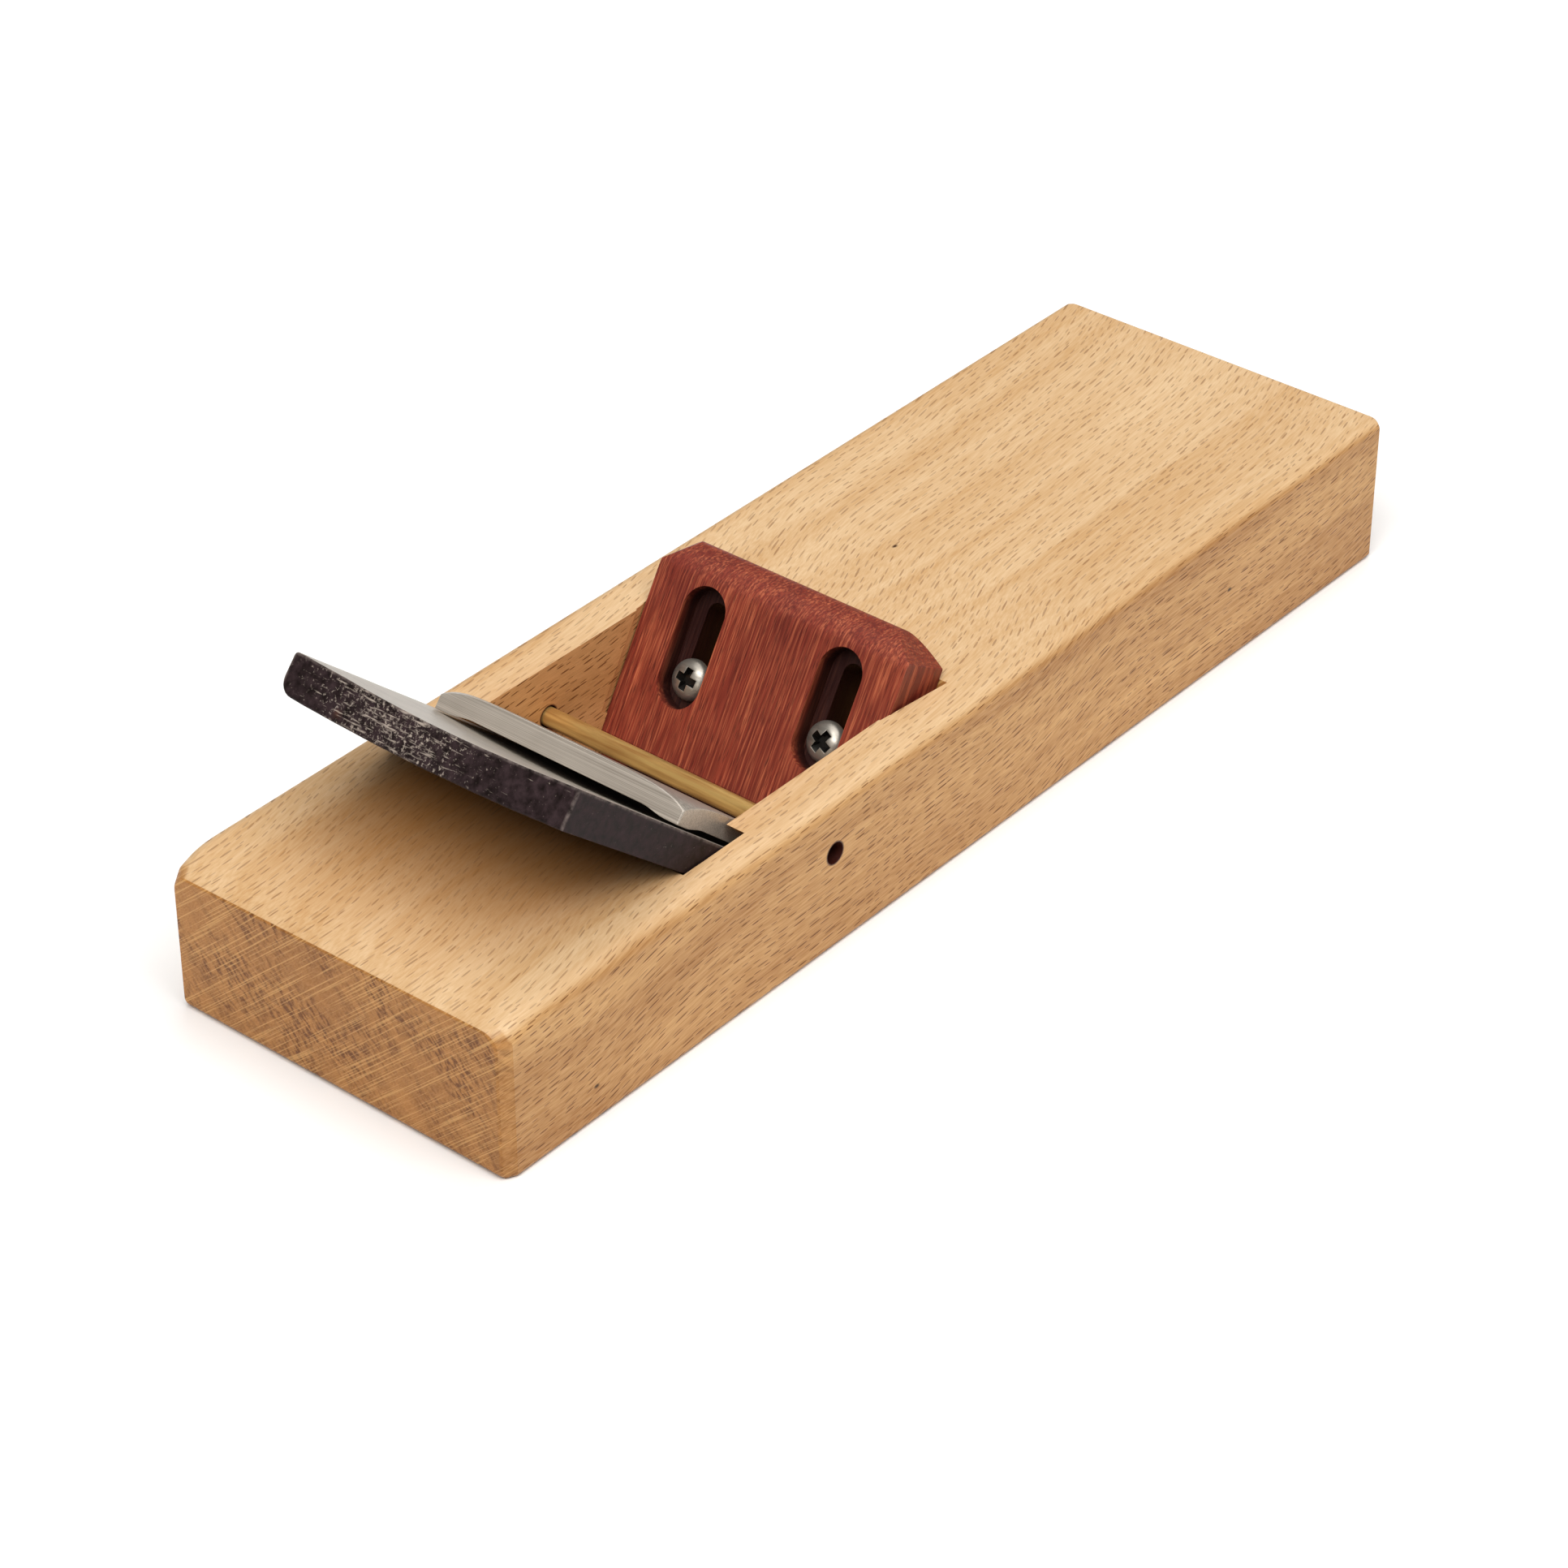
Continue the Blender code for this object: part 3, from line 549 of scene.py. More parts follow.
@dataclass
class Blade:
    """The thick wedge blade. Sizes are millimetres, from the cutting edge upwards.

    Its flat face is hollow behind the land at the edge, and its forged head is crowned on the
    back, rounded at its left back corner and dressed to a crisp right one.
    """

    places: Places
    length: float = 100.7
    width: float = 69.2
    edge_width: float = 59.8
    ear_start: float = 8.5
    head_thickness: float = 8.0
    bevel: float = 28.0
    edge_land: float = 0.12
    hollow: float = 1.2
    hollow_centre: float = -2.0
    crown: float = 1.0
    crown_foot: float = 62.0
    left_back_round: float = 3.2
    left_front_round: float = 0.6
    arris: float = 0.3
    back_arris: float = 0.55
    hammered: float = 0.07
    columns: int = 41

    def half(self, along: float) -> float:
        """Half of the width at a distance from the edge."""
        ear = max(0.0, min(self.width / 2 - self.edge_width / 2, along - self.ear_start))
        return self.edge_width / 2 + ear

    def front(self, along: float, y: float) -> float:
        """The height of the front face: hollow in the middle, away from the land at the edge."""
        across = (y - self.hollow_centre) / (self.width / 2)
        bowl = max(0.0, 1.0 - across * across) ** 1.4
        return -self.hollow * bowl * smooth_step(along, 8.0, 26.0)

    def back(self, along: float, y: float) -> float:
        """The height of the back face: a wedge, ground to the edge and crowned at the head."""
        taper = math.tan(self.places.bed.angle(self.places.blade.along))
        body = self.head_thickness - (self.length - along) * taper
        ground = self.edge_land + along * math.tan(math.radians(self.bevel))
        across = y / (self.width / 2)
        crown = self.crown * (1.0 - across * across) * smooth_step(along, self.crown_foot, self.length)
        return -min(body, ground) - crown

    def stations(self) -> list[float]:
        """The distances of the cross-sections from the edge."""
        ear_end = self.ear_start + (self.width - self.edge_width) / 2
        body = spread(ear_end + 1.5, self.length - 2.0, 40)
        head = [self.length - step for step in (1.2, 0.7, 0.45, 0.28, 0.14, 0.05, 0.0)]
        heel = 13.2
        edge = [0.0, 0.4, 2.0, 4.5, 7.0, self.ear_start, self.ear_start + 1.5]
        return sorted(edge + [heel, ear_end, *body, *head])

    def ring(self, along: float, inset: float = 0.0) -> list[Vector]:
        """The blade's cross-section at one distance from the edge, drawn in by an inset."""
        to_head = self.length - along
        front_in = round_inset(to_head, self.arris)
        back_in = round_inset(to_head, self.back_arris)
        thin = min(1.0, -self.back(along, 0.0) / 4.0)
        exposed = smooth_step(along, self.crown_foot, self.crown_foot + 12.0)
        left_back = 0.05 + (self.arris + (self.left_back_round - self.arris) * exposed) * thin * 0.95
        small = max(0.01, self.arris * min(1.0, thin) * 0.5)
        left_front = small + self.left_front_round * exposed
        rounds = Rounds(left_front, small, left_back, small * 1.4)
        section = plate_ring(
            self.half(along) - front_in - inset,
            lambda y: self.front(along, y) - front_in - inset,
            lambda y: self.back(along, y) + back_in + inset,
            rounds,
            self.columns,
        )
        forged = self.hammered * smooth_step(along, self.crown_foot, self.length)
        points = []
        for y, height in section:
            dent = noise.noise(Vector((along * 0.12, y * 0.16, height * 0.25))) * forged
            points.append(self.places.blade.place(mm(along + dent * 0.5), mm(y), mm(height + dent)))
        return points

    def mark_wear(self, made: bpy.types.Object) -> None:
        """Marks how near each point is to an edge of the head, where handling bares the steel."""
        slant = self.places.blade
        worn = made.data.attributes.new("wear", "FLOAT", "POINT")
        for vertex, value in zip(made.data.vertices, worn.data):
            along = (vertex.co - slant.origin).dot(slant.along) * 1000.0
            side = self.half(along) - abs(vertex.co.y) * 1000.0
            to_head = self.length - along
            depth = -(vertex.co - slant.origin).dot(slant.outward) * 1000.0
            depth += self.front(along, vertex.co.y * 1000.0)
            low, middle, _ = sorted((side, to_head, depth))
            value.value = max(0.0, 1.0 - (max(low, 0.0) + max(middle, 0.0)) / 1.2)

    def build(self, materials: dict[Coat, bpy.types.Material]) -> bpy.types.Object:
        """Builds the blade, with a ground front face and bevel and a forged rest."""
        rings = [self.ring(along) for along in self.stations()]
        rings += [self.ring(self.length, inset) for inset in (0.5, 1.1, 2.0)]
        made = loft("forged_blade", rings)
        self.mark_wear(made)
        shaded(made, 24.0)
        dress(made, Coat.FORGED, materials)
        made.data.materials.append(materials[Coat.GROUND])
        slant = self.places.blade
        for face in made.data.polygons:
            along = (face.center - slant.origin).dot(slant.along)
            on_front = face.normal.dot(slant.outward) > 0.8
            on_bevel = face.normal.z < -0.5 and along < mm(13.4)
            face.material_index = int(on_front or on_bevel)
        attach(made, "blade")
        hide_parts("blade")
        return made


@dataclass
class ChipBreaker:
    """The chip breaker. Sizes are millimetres, in the blade's frame.

    A plate that thins towards its edge. Both head corners are bent down along a diagonal, so that
    they stand on the blade, and are ground off above.
    """

    places: Places
    start: float = 0.8
    length: float = 60.0
    width: float = 60.4
    thickness: float = 4.2
    pin_along: float = 24.7
    rise: float = 0.62
    wedge: float = 0.8
    bevel_length: float = 12.0
    edge_land: float = 0.3
    fold_start: float = 22.5
    fold_drop: float = 0.5
    fold_reach: float = 4.6
    foot_drop: float = 0.75
    gap: float = 0.3
    foot_gap: float = 0.06
    arris: float = 0.25
    columns: int = 61

    def past_fold(self, along: float, y: float) -> float:
        """How far a point lies past the diagonal that a corner is bent along."""
        return abs(y) - self.fold_start + along - (self.start + self.length)

    def bottom(self, along: float, y: float) -> float:
        """The height of the underside above the blade's face."""
        flat = self.gap + (along - self.start) * math.tan(math.radians(self.rise))
        bent = self.foot_drop * smooth_step(self.past_fold(along, y), -1.5, 4.4)
        return max(self.foot_gap, flat - bent)

    def top(self, along: float, y: float) -> float:
        """The height of the upper face above the blade's face."""
        at_pin = self.gap + (self.pin_along - self.start) * math.tan(math.radians(self.rise))
        slope = math.tan(math.radians(self.rise + self.wedge))
        flat = at_pin + self.thickness + (along - self.pin_along) * slope
        bent = self.fold_drop * math.exp(self.past_fold(along, y) / self.fold_reach)
        heel = self.start + self.bevel_length
        if along < heel:
            share = (along - self.start) / self.bevel_length
            edge = self.gap + self.edge_land
            return edge + (flat - edge) * share
        return flat - bent

    def stations(self) -> list[float]:
        """The distances of the cross-sections from the blade's edge."""
        head = self.start + self.length
        edge = [self.start, self.start + 0.3, self.start + 4.0, self.start + 8.0, self.start + self.bevel_length]
        body = spread(self.start + self.bevel_length + 2.0, head - 12.0, 12)
        ears = spread(head - 11.0, head - 1.0, 21)
        return edge + body + ears + [head - step for step in (0.6, 0.25, 0.16, 0.08, 0.02, 0.0)]

    def ring(self, along: float) -> list[Vector]:
        """The plate's cross-section at one distance from the edge."""
        inset = round_inset(self.start + self.length - along, self.arris)
        thin = min(1.0, (self.top(along, 0.0) - self.bottom(along, 0.0)) / 2.0)
        small = self.arris * thin * 0.8
        section = plate_ring(
            self.width / 2 - inset,
            lambda y: self.top(along, y) - inset,
            lambda y: self.bottom(along, y) + inset * 0.5,
            Rounds(small, small, small, small),
            self.columns,
        )
        return [self.places.blade.place(mm(along), mm(y), mm(height)) for y, height in section]

    def build(self, materials: dict[Coat, bpy.types.Material]) -> bpy.types.Object:
        """Builds the chip breaker and puts it on its body."""
        made = loft("ground_chip_breaker", [self.ring(along) for along in self.stations()])
        shaded(made, 28.0)
        dress(made, Coat.GROUND, materials)
        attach(made, "chip_breaker")
        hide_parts("chip_breaker")
        return made


# ---------------------------------------------------------------------------- pin


@dataclass
class Pin:
    """The round pin across the throat, with its ends eased. Sizes are millimetres."""

    radius: float = 2.0
    end_round: float = 0.5
    sides: int = 48

    def build(self, materials: dict[Coat, bpy.types.Material]) -> bpy.types.Object:
        """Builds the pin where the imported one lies."""
        low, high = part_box("retaining_pin")
        length = (high.y - low.y) * 1000.0
        r, e = self.radius, self.end_round
        profile = [(0.0, 0.0)] + arc((r - e, e), e, -90.0, 0.0, 5) + [(r, length / 3), (r, length * 2 / 3)]
        profile += arc((r - e, length - e), e, 0.0, 90.0, 5) + [(0.0, length)]
        middle = (low + high) / 2
        pose = Matrix.Translation((middle.x, low.y, middle.z)) @ Matrix.Rotation(math.radians(-90.0), 4, "X")
        made = lathe("plated_pin", [(mm(a), mm(b)) for a, b in profile], self.sides, pose)
        shaded(made)
        dress(made, Coat.PIN, materials)
        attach(made, "block")
        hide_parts("retaining_pin")
        return made


# ---------------------------------------------------------------------------- mouthpiece


@dataclass
class Mouthpiece:
    """The red hardwood mouthpiece. Sizes are millimetres, in its own slanted frame.

    A plate with an upright toe at the mouth, a crowned top that rounds over to the back, both top
    corners planed off, and a counterbored slot for each screw.
    """

    places: Places
    thickness: float = 12.9
    face_length: float = 48.0
    crown_rise: float = 1.8
    back_round: float = 5.0
    crown_bow: float = 1.1
    slot_spacing: float = 34.4
    slot_low: float = 27.4
    slot_travel: float = 14.9
    bore_radius: float = 5.2
    bore_depth: float = 4.8
    shank_radius: float = 2.3
    facet_start: float = 1.8
    facet_run: float = 9.6
    facet_drop: float = 5.8
    facet_right: float = 8.3
    facet_left: float = 2.2
    brow_round: float = 0.9
    side_round: float = 0.35
    slot_round: float = 0.3

    def outline(self) -> list[tuple[float, float]]:
        """The mouthpiece from the side, as (x, z) in metres."""
        slant = self.places.mouth
        lean = slant.lean()
        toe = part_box("mouthpiece")[0].x
        brow = slant.place(mm(self.face_length), 0.0, 0.0)
        out = mm(self.back_round - self.thickness)
        centre_z = brow.z + mm(self.crown_rise - self.back_round)
        along = (centre_z - out * math.cos(lean)) / math.sin(lean)
        centre = slant.place(along, 0.0, out)
        over = arc((centre.x, centre.z), mm(self.back_round), 90.0, math.degrees(lean) - 90.0, 16)
        bow = []
        for share in (0.08, 0.18, 0.3, 0.42, 0.54, 0.66, 0.78, 0.9):
            rise = self.crown_bow * math.sin(math.pi * share**0.8)
            x = brow.x + (over[0][0] - brow.x) * share
            bow.append((x, brow.z + (over[0][1] - brow.z) * share + mm(rise)))
        heel = slant.origin.x + mm(self.thickness) / math.sin(lean)
        toe_top = (toe - slant.origin.x) * math.tan(lean)
        return [(toe, 0.0), (toe, toe_top), (brow.x, brow.z), *bow, *over, (heel, 0.0)]

    def plane_corner(self, made: bpy.types.Object, side: Side, inset: float) -> None:
        """Planes one top corner off, from nothing at the brow to the inset at the back."""
        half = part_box("mouthpiece")[1].y * side.value
        brow = self.places.mouth.place(mm(self.face_length), 0.0, 0.0)
        front = Vector((brow.x + mm(self.facet_start), half, brow.z + mm(self.crown_bow * 0.4)))
        drop = self.facet_drop * inset / self.facet_right
        inner = Vector((mm(self.facet_run), -side.value * mm(inset), 0.0))
        lower = Vector((mm(self.facet_run), 0.0, -mm(drop)))
        normal = inner.cross(lower).normalized()
        normal *= math.copysign(1.0, normal.z)
        shape = bmesh.new()
        shape.from_mesh(made.data)
        every = shape.verts[:] + shape.edges[:] + shape.faces[:]
        cut = bmesh.ops.bisect_plane(
            shape, geom=every, plane_co=front, plane_no=normal, clear_outer=True, dist=mm(0.001)
        )
        rim = [item for item in cut["geom_cut"] if isinstance(item, bmesh.types.BMEdge)]
        bmesh.ops.holes_fill(shape, edges=rim, sides=0)
        bmesh.ops.recalc_face_normals(shape, faces=shape.faces)
        shape.to_mesh(made.data)
        shape.free()

    def slot_cutter(self, side: Side, radius: float, span: tuple[float, float]) -> bpy.types.Object:
        """A round-ended slot, run between two depths along the way out of the face."""
        centre = side.value * self.slot_spacing / 2
        outline = arc((self.slot_low, centre), radius, 90.0, 270.0, 24)
        outline += arc((self.slot_low + self.slot_travel, centre), radius, -90.0, 90.0, 24)

        def out_of_face(a: float, b: float, depth: float) -> Vector:
            """Places a slot's outline on the mouthpiece's face."""
            return self.places.mouth.place(mm(a), mm(b), mm(depth))

        return prism(f"slot_{side.name}_{radius}", outline, out_of_face, span)

    def on_brow(self, edge: bmesh.types.BMEdge) -> bool:
        """Whether an edge is the brow, where the front face turns into the crowned top."""
        brow = self.places.mouth.place(mm(self.face_length), 0.0, 0.0)
        return all((Vector((v.co.x, 0.0, v.co.z)) - brow).length < mm(0.05) for v in edge.verts)

    def on_slot(self, edge: bmesh.types.BMEdge) -> bool:
        """Whether an edge is the mouth of a counterbore."""
        slant = self.places.mouth
        depths = [(v.co - slant.origin).dot(slant.outward) for v in edge.verts]
        heights = [(v.co - slant.origin).dot(slant.along) for v in edge.verts]
        inside = all(mm(20.0) < height < mm(47.6) for height in heights)
        in_width = all(abs(v.co.y) < mm(24.0) for v in edge.verts)
        return inside and in_width and edge.is_convex and max(map(abs, depths)) < mm(0.02)

    def on_side(self, edge: bmesh.types.BMEdge) -> bool:
        """Whether an edge is a long outer one or the edge of a planed corner."""
        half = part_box("mouthpiece")[1].y
        outer = any(abs(v.co.y) > half - mm(9.0) for v in edge.verts)
        sharp = edge.is_convex and edge.calc_face_angle(0.0) > math.radians(22.0)
        return outer and sharp and not self.on_slot(edge)

    def build(self, materials: dict[Coat, bpy.types.Material]) -> bpy.types.Object:
        """Builds the mouthpiece and puts it on its body."""
        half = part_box("mouthpiece")[1].y
        made = prism(
            "red_hardwood_mouthpiece", self.outline(), lambda a, b, depth: Vector((a, depth, b)), (-half, half)
        )
        soften(made, mm(self.brow_round), 4, self.on_brow)
        self.plane_corner(made, Side.LEFT, self.facet_left)
        self.plane_corner(made, Side.RIGHT, self.facet_right)
        cutters = []
        for side in Side:
            cutters.append(self.slot_cutter(side, self.bore_radius, (-self.bore_depth, 6.0)))
            cutters.append(self.slot_cutter(side, self.shank_radius, (-self.thickness - 6.0, 6.0)))
        carve(made, cutters)
        soften(made, mm(self.side_round), 3, self.on_side)
        soften(made, mm(self.slot_round), 2, self.on_slot)
        shaded(made)
        dress(made, Coat.REDWOOD, materials)
        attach(made, "mouthpiece")
        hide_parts("mouthpiece")
        return made


# ---------------------------------------------------------------------------- screws


@dataclass
class Screws:
    """The two pan-head screws. Sizes are millimetres; heights are above the head's seat."""

    places: Places
    head_radius: float = 4.3
    head_height: float = 2.8
    rim_height: float = 0.6
    shank_radius: float = 1.62
    length: float = 16.0
    pitch: float = 0.7
    thread_depth: float = 0.36
    recess_span: float = 5.1
    recess_width: float = 1.65
    recess_depth: float = 1.8
    recess_heart: float = 1.25
    sides: int = 64
    turns: tuple[float, float] = (-7.0, 62.7)

    def profile(self) -> list[tuple[float, float]]:
        """Half of the screw's outline, as (radius, height): tip, shank, seat and domed head."""
        head, rim, tall = self.head_radius, self.rim_height, self.head_height
        dome = []
        for i in range(11):
            share = i / 10
            radius = head * math.cos(share * math.pi / 2) ** 0.8
            dome.append((radius, rim + (tall - rim) * math.sin(share * math.pi / 2)))
        tip = -self.length
        shank = [(0.0, tip), (self.shank_radius - 0.5, tip), (self.shank_radius, tip + 0.5), (self.shank_radius, 0.0)]
        seat = [(head - 0.15, 0.0), (head, 0.15)]
        return shank + seat + dome[:-1] + [(0.0, tall)]

    def recess_cutter(self, number: int) -> bpy.types.Object:
        """One bar of the cross recess, tapering towards its floor."""
        tall = self.head_height
        turn = Matrix.Rotation(number * math.pi / 2, 4, "Z")
        rings = []
        for height, share in ((tall - self.recess_depth, 0.5), (tall + 1.0, 1.3)):
            long = self.recess_span / 2 * share
            wide = self.recess_width / 2 * (0.72 + 0.28 * share)
            corners = ((-long, -wide), (long, -wide), (long, wide), (-long, wide))
            rings.append([turn @ Vector((mm(x), mm(y), mm(height))) for x, y in corners])
        return loft(f"recess_bar_{number}", rings)

    def blank(self) -> bpy.types.Object:
        """One screw without its thread, standing at the origin."""
        profile = [(mm(a), mm(b)) for a, b in self.profile()]
        made = lathe("screw_blank", profile, self.sides, Matrix.Identity(4))
        heart = [
            (0.0, self.head_height - self.recess_depth - 0.3),
            (self.recess_heart * 0.6, self.head_height - self.recess_depth),
            (self.recess_heart, self.head_height + 1.0),
            (0.0, self.head_height + 1.0),
        ]
        core = lathe("recess_heart", [(mm(a), mm(b)) for a, b in heart], 16, Matrix.Identity(4))
        carve(made, [self.recess_cutter(0), self.recess_cutter(1), core])
        soften(made, mm(0.1), 2, lambda edge: edge.is_convex and self.on_recess(edge))
        self.mark_recess_shade(made)
        return made

    def dome_height(self, radius: float) -> float:
        """The height of the head's dome at a radius, in millimetres."""
        share = math.acos(min(1.0, radius / self.head_radius) ** (1 / 0.8)) / (math.pi / 2)
        return self.rim_height + (self.head_height - self.rim_height) * math.sin(share * math.pi / 2)

    def mark_recess_shade(self, made: bpy.types.Object) -> None:
        """Marks the faces inside the cross recess, which get painted shade, darkened almost to black."""
        grime = made.data.attributes.new("grime", "FLOAT", "FACE")
        for face, value in zip(made.data.polygons, grime.data):
            radius = math.hypot(face.center.x, face.center.y) * 1000.0
            near = radius < self.recess_span * 0.6 and face.center.z > 0.0
            deep = self.dome_height(radius) - face.center.z * 1000.0 > 0.22
            value.value = 0.93 if near and deep else 0.0

    def on_recess(self, edge: bmesh.types.BMEdge) -> bool:
        """Whether an edge is the mouth of the cross recess."""
        middle = (edge.verts[0].co + edge.verts[1].co) / 2
        near = math.hypot(middle.x, middle.y) < mm(self.recess_span * 0.56)
        return near and middle.z > mm(self.rim_height + 0.4) and edge.calc_face_angle(0.0) > math.radians(38.0)

    def tree(self) -> bpy.types.NodeTree:
        """The geometry nodes that thread a screw blank, turn it, and seat it."""
        tree = bpy.data.node_groups.new("threaded_screw", "GeometryNodeTree")
        face = tree.interface
        face.new_socket("Geometry", in_out="OUTPUT", socket_type="NodeSocketGeometry")
        for name, kind in (
            ("Blank", "NodeSocketObject"),
            ("Pitch", "NodeSocketFloat"),
            ("Root Radius", "NodeSocketFloat"),
            ("Thread Depth", "NodeSocketFloat"),
            ("Thread Length", "NodeSocketFloat"),
            ("Seat", "NodeSocketVector"),
            ("Rotation", "NodeSocketVector"),
            ("Metal", "NodeSocketMaterial"),
        ):
            face.new_socket(name, in_out="INPUT", socket_type=kind)
        given = add_node(tree, "NodeGroupInput").outputs
        blank = add_node(tree, "GeometryNodeObjectInfo", {"Object": given["Blank"]})
        turns = add_node(
            tree, "ShaderNodeMath", {0: given["Thread Length"], 1: given["Pitch"]}, operation="DIVIDE"
        )
        helix = add_node(tree, "GeometryNodeCurveSpiral", {
            "Resolution": 24,
            "Rotations": turns.outputs[0],
            "Start Radius": given["Root Radius"],
            "End Radius": given["Root Radius"],
            "Height": given["Thread Length"],
        })
        ridge = add_node(tree, "GeometryNodeCurvePrimitiveCircle", {
            "Resolution": 3,
            "Radius": given["Thread Depth"],
        }, mode="RADIUS")
        thread = add_node(tree, "GeometryNodeCurveToMesh", {
            "Curve": helix.outputs[0],
            "Profile Curve": ridge.outputs[0],
            "Fill Caps": True,
        })
        sunk = add_node(
            tree, "ShaderNodeMath", {0: given["Thread Length"], 1: -1.08}, operation="MULTIPLY"
        )
        drop = add_node(tree, "ShaderNodeCombineXYZ", {"Z": sunk.outputs[0]})
        lowered = add_node(tree, "GeometryNodeTransform", {
            "Geometry": thread.outputs[0],
            "Translation": drop.outputs[0],
        })
        joined = add_node(tree, "GeometryNodeJoinGeometry", {"Geometry": blank.outputs["Geometry"]})
        tree.links.new(lowered.outputs[0], joined.inputs["Geometry"])
        seated = add_node(tree, "GeometryNodeTransform", {
            "Geometry": joined.outputs[0],
            "Translation": given["Seat"],
            "Rotation": given["Rotation"],
        })
        real = add_node(tree, "GeometryNodeRealizeInstances", {"Geometry": seated.outputs[0]})
        metal = add_node(tree, "GeometryNodeSetMaterial", {
            "Geometry": real.outputs[0],
            "Material": given["Metal"],
        })
        add_node(tree, "NodeGroupOutput", {"Geometry": metal.outputs[0]})
        return tree

    def build(self, materials: dict[Coat, bpy.types.Material]) -> list[bpy.types.Object]:
        """Builds both screws from one blank and one tree, each on its own body."""
        blank, tree = self.blank(), self.tree()
        made = []
        for side, turn in zip(Side, self.turns):
            seat, outward = self.places.screws[side]
            right = Vector((0.0, -1.0, 0.0))
            upright = Matrix((right, outward.cross(right), outward)).transposed()
            pose = upright @ Matrix.Rotation(math.radians(turn), 3, "Z")
            screw = make_object(f"nickel_screw_{side.name.lower()}", bpy.data.meshes.new("screw"))
            threader = screw.modifiers.new("thread", "NODES")
            threader.node_group = tree
            values = {
                "Blank": blank,
                "Pitch": mm(self.pitch),
                "Root Radius": mm(self.shank_radius),
                "Thread Depth": mm(self.thread_depth),
                "Thread Length": mm(self.length * 0.86),
                "Seat": seat,
                "Rotation": Vector(pose.to_euler()),
                "Metal": materials[Coat.NICKEL],
            }
            for item in tree.interface.items_tree:
                if item.in_out == "INPUT":
                    threader[item.identifier] = values[item.name]
            baked(screw)
            shaded(screw, 30.0)
            dress(screw, Coat.NICKEL, materials)
            body = f"screw_{side.name.lower()}"
            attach(screw, body)
            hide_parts(f"mouthpiece_{body}")
            made.append(screw)
        bpy.data.objects.remove(blank)
        return made


# ---------------------------------------------------------------------------- finishes


def linear(code: str) -> tuple[float, float, float, float]:
    """An sRGB hex colour, such as "C08040", as linear RGBA."""
    shades = [int(code[i:i + 2], 16) / 255.0 for i in (0, 2, 4)]
    red, green, blue = (c / 12.92 if c <= 0.04045 else ((c + 0.055) / 1.055) ** 2.4 for c in shades)
    return red, green, blue, 1.0


def add_node(
    tree: bpy.types.NodeTree, kind: str, feeds: dict[str | int, Feed] | None = None, **settings: object
) -> bpy.types.Node:
    """Adds a node with its settings, and feeds its inputs with values or links.

    Args:
        tree: the node tree.
        kind: the node's type.
        feeds: each input's name or number, with a value or another node's output.
        **settings: the node's own options.

    Returns:
        The node.
    """
    node = tree.nodes.new(kind)
    for key, value in settings.items():
        setattr(node, key, value)
    for key, feed in (feeds or {}).items():
        if isinstance(feed, bpy.types.NodeSocket):
            tree.links.new(feed, node.inputs[key])
        else:
            node.inputs[key].default_value = feed
    return node


def new_material(name: str) -> tuple[bpy.types.Material, bpy.types.NodeTree, bpy.types.Node]:
    """A new material with its tree and its Principled shader."""
    made = bpy.data.materials.new(name)
    made.use_nodes = True
    return made, made.node_tree, made.node_tree.nodes["Principled BSDF"]


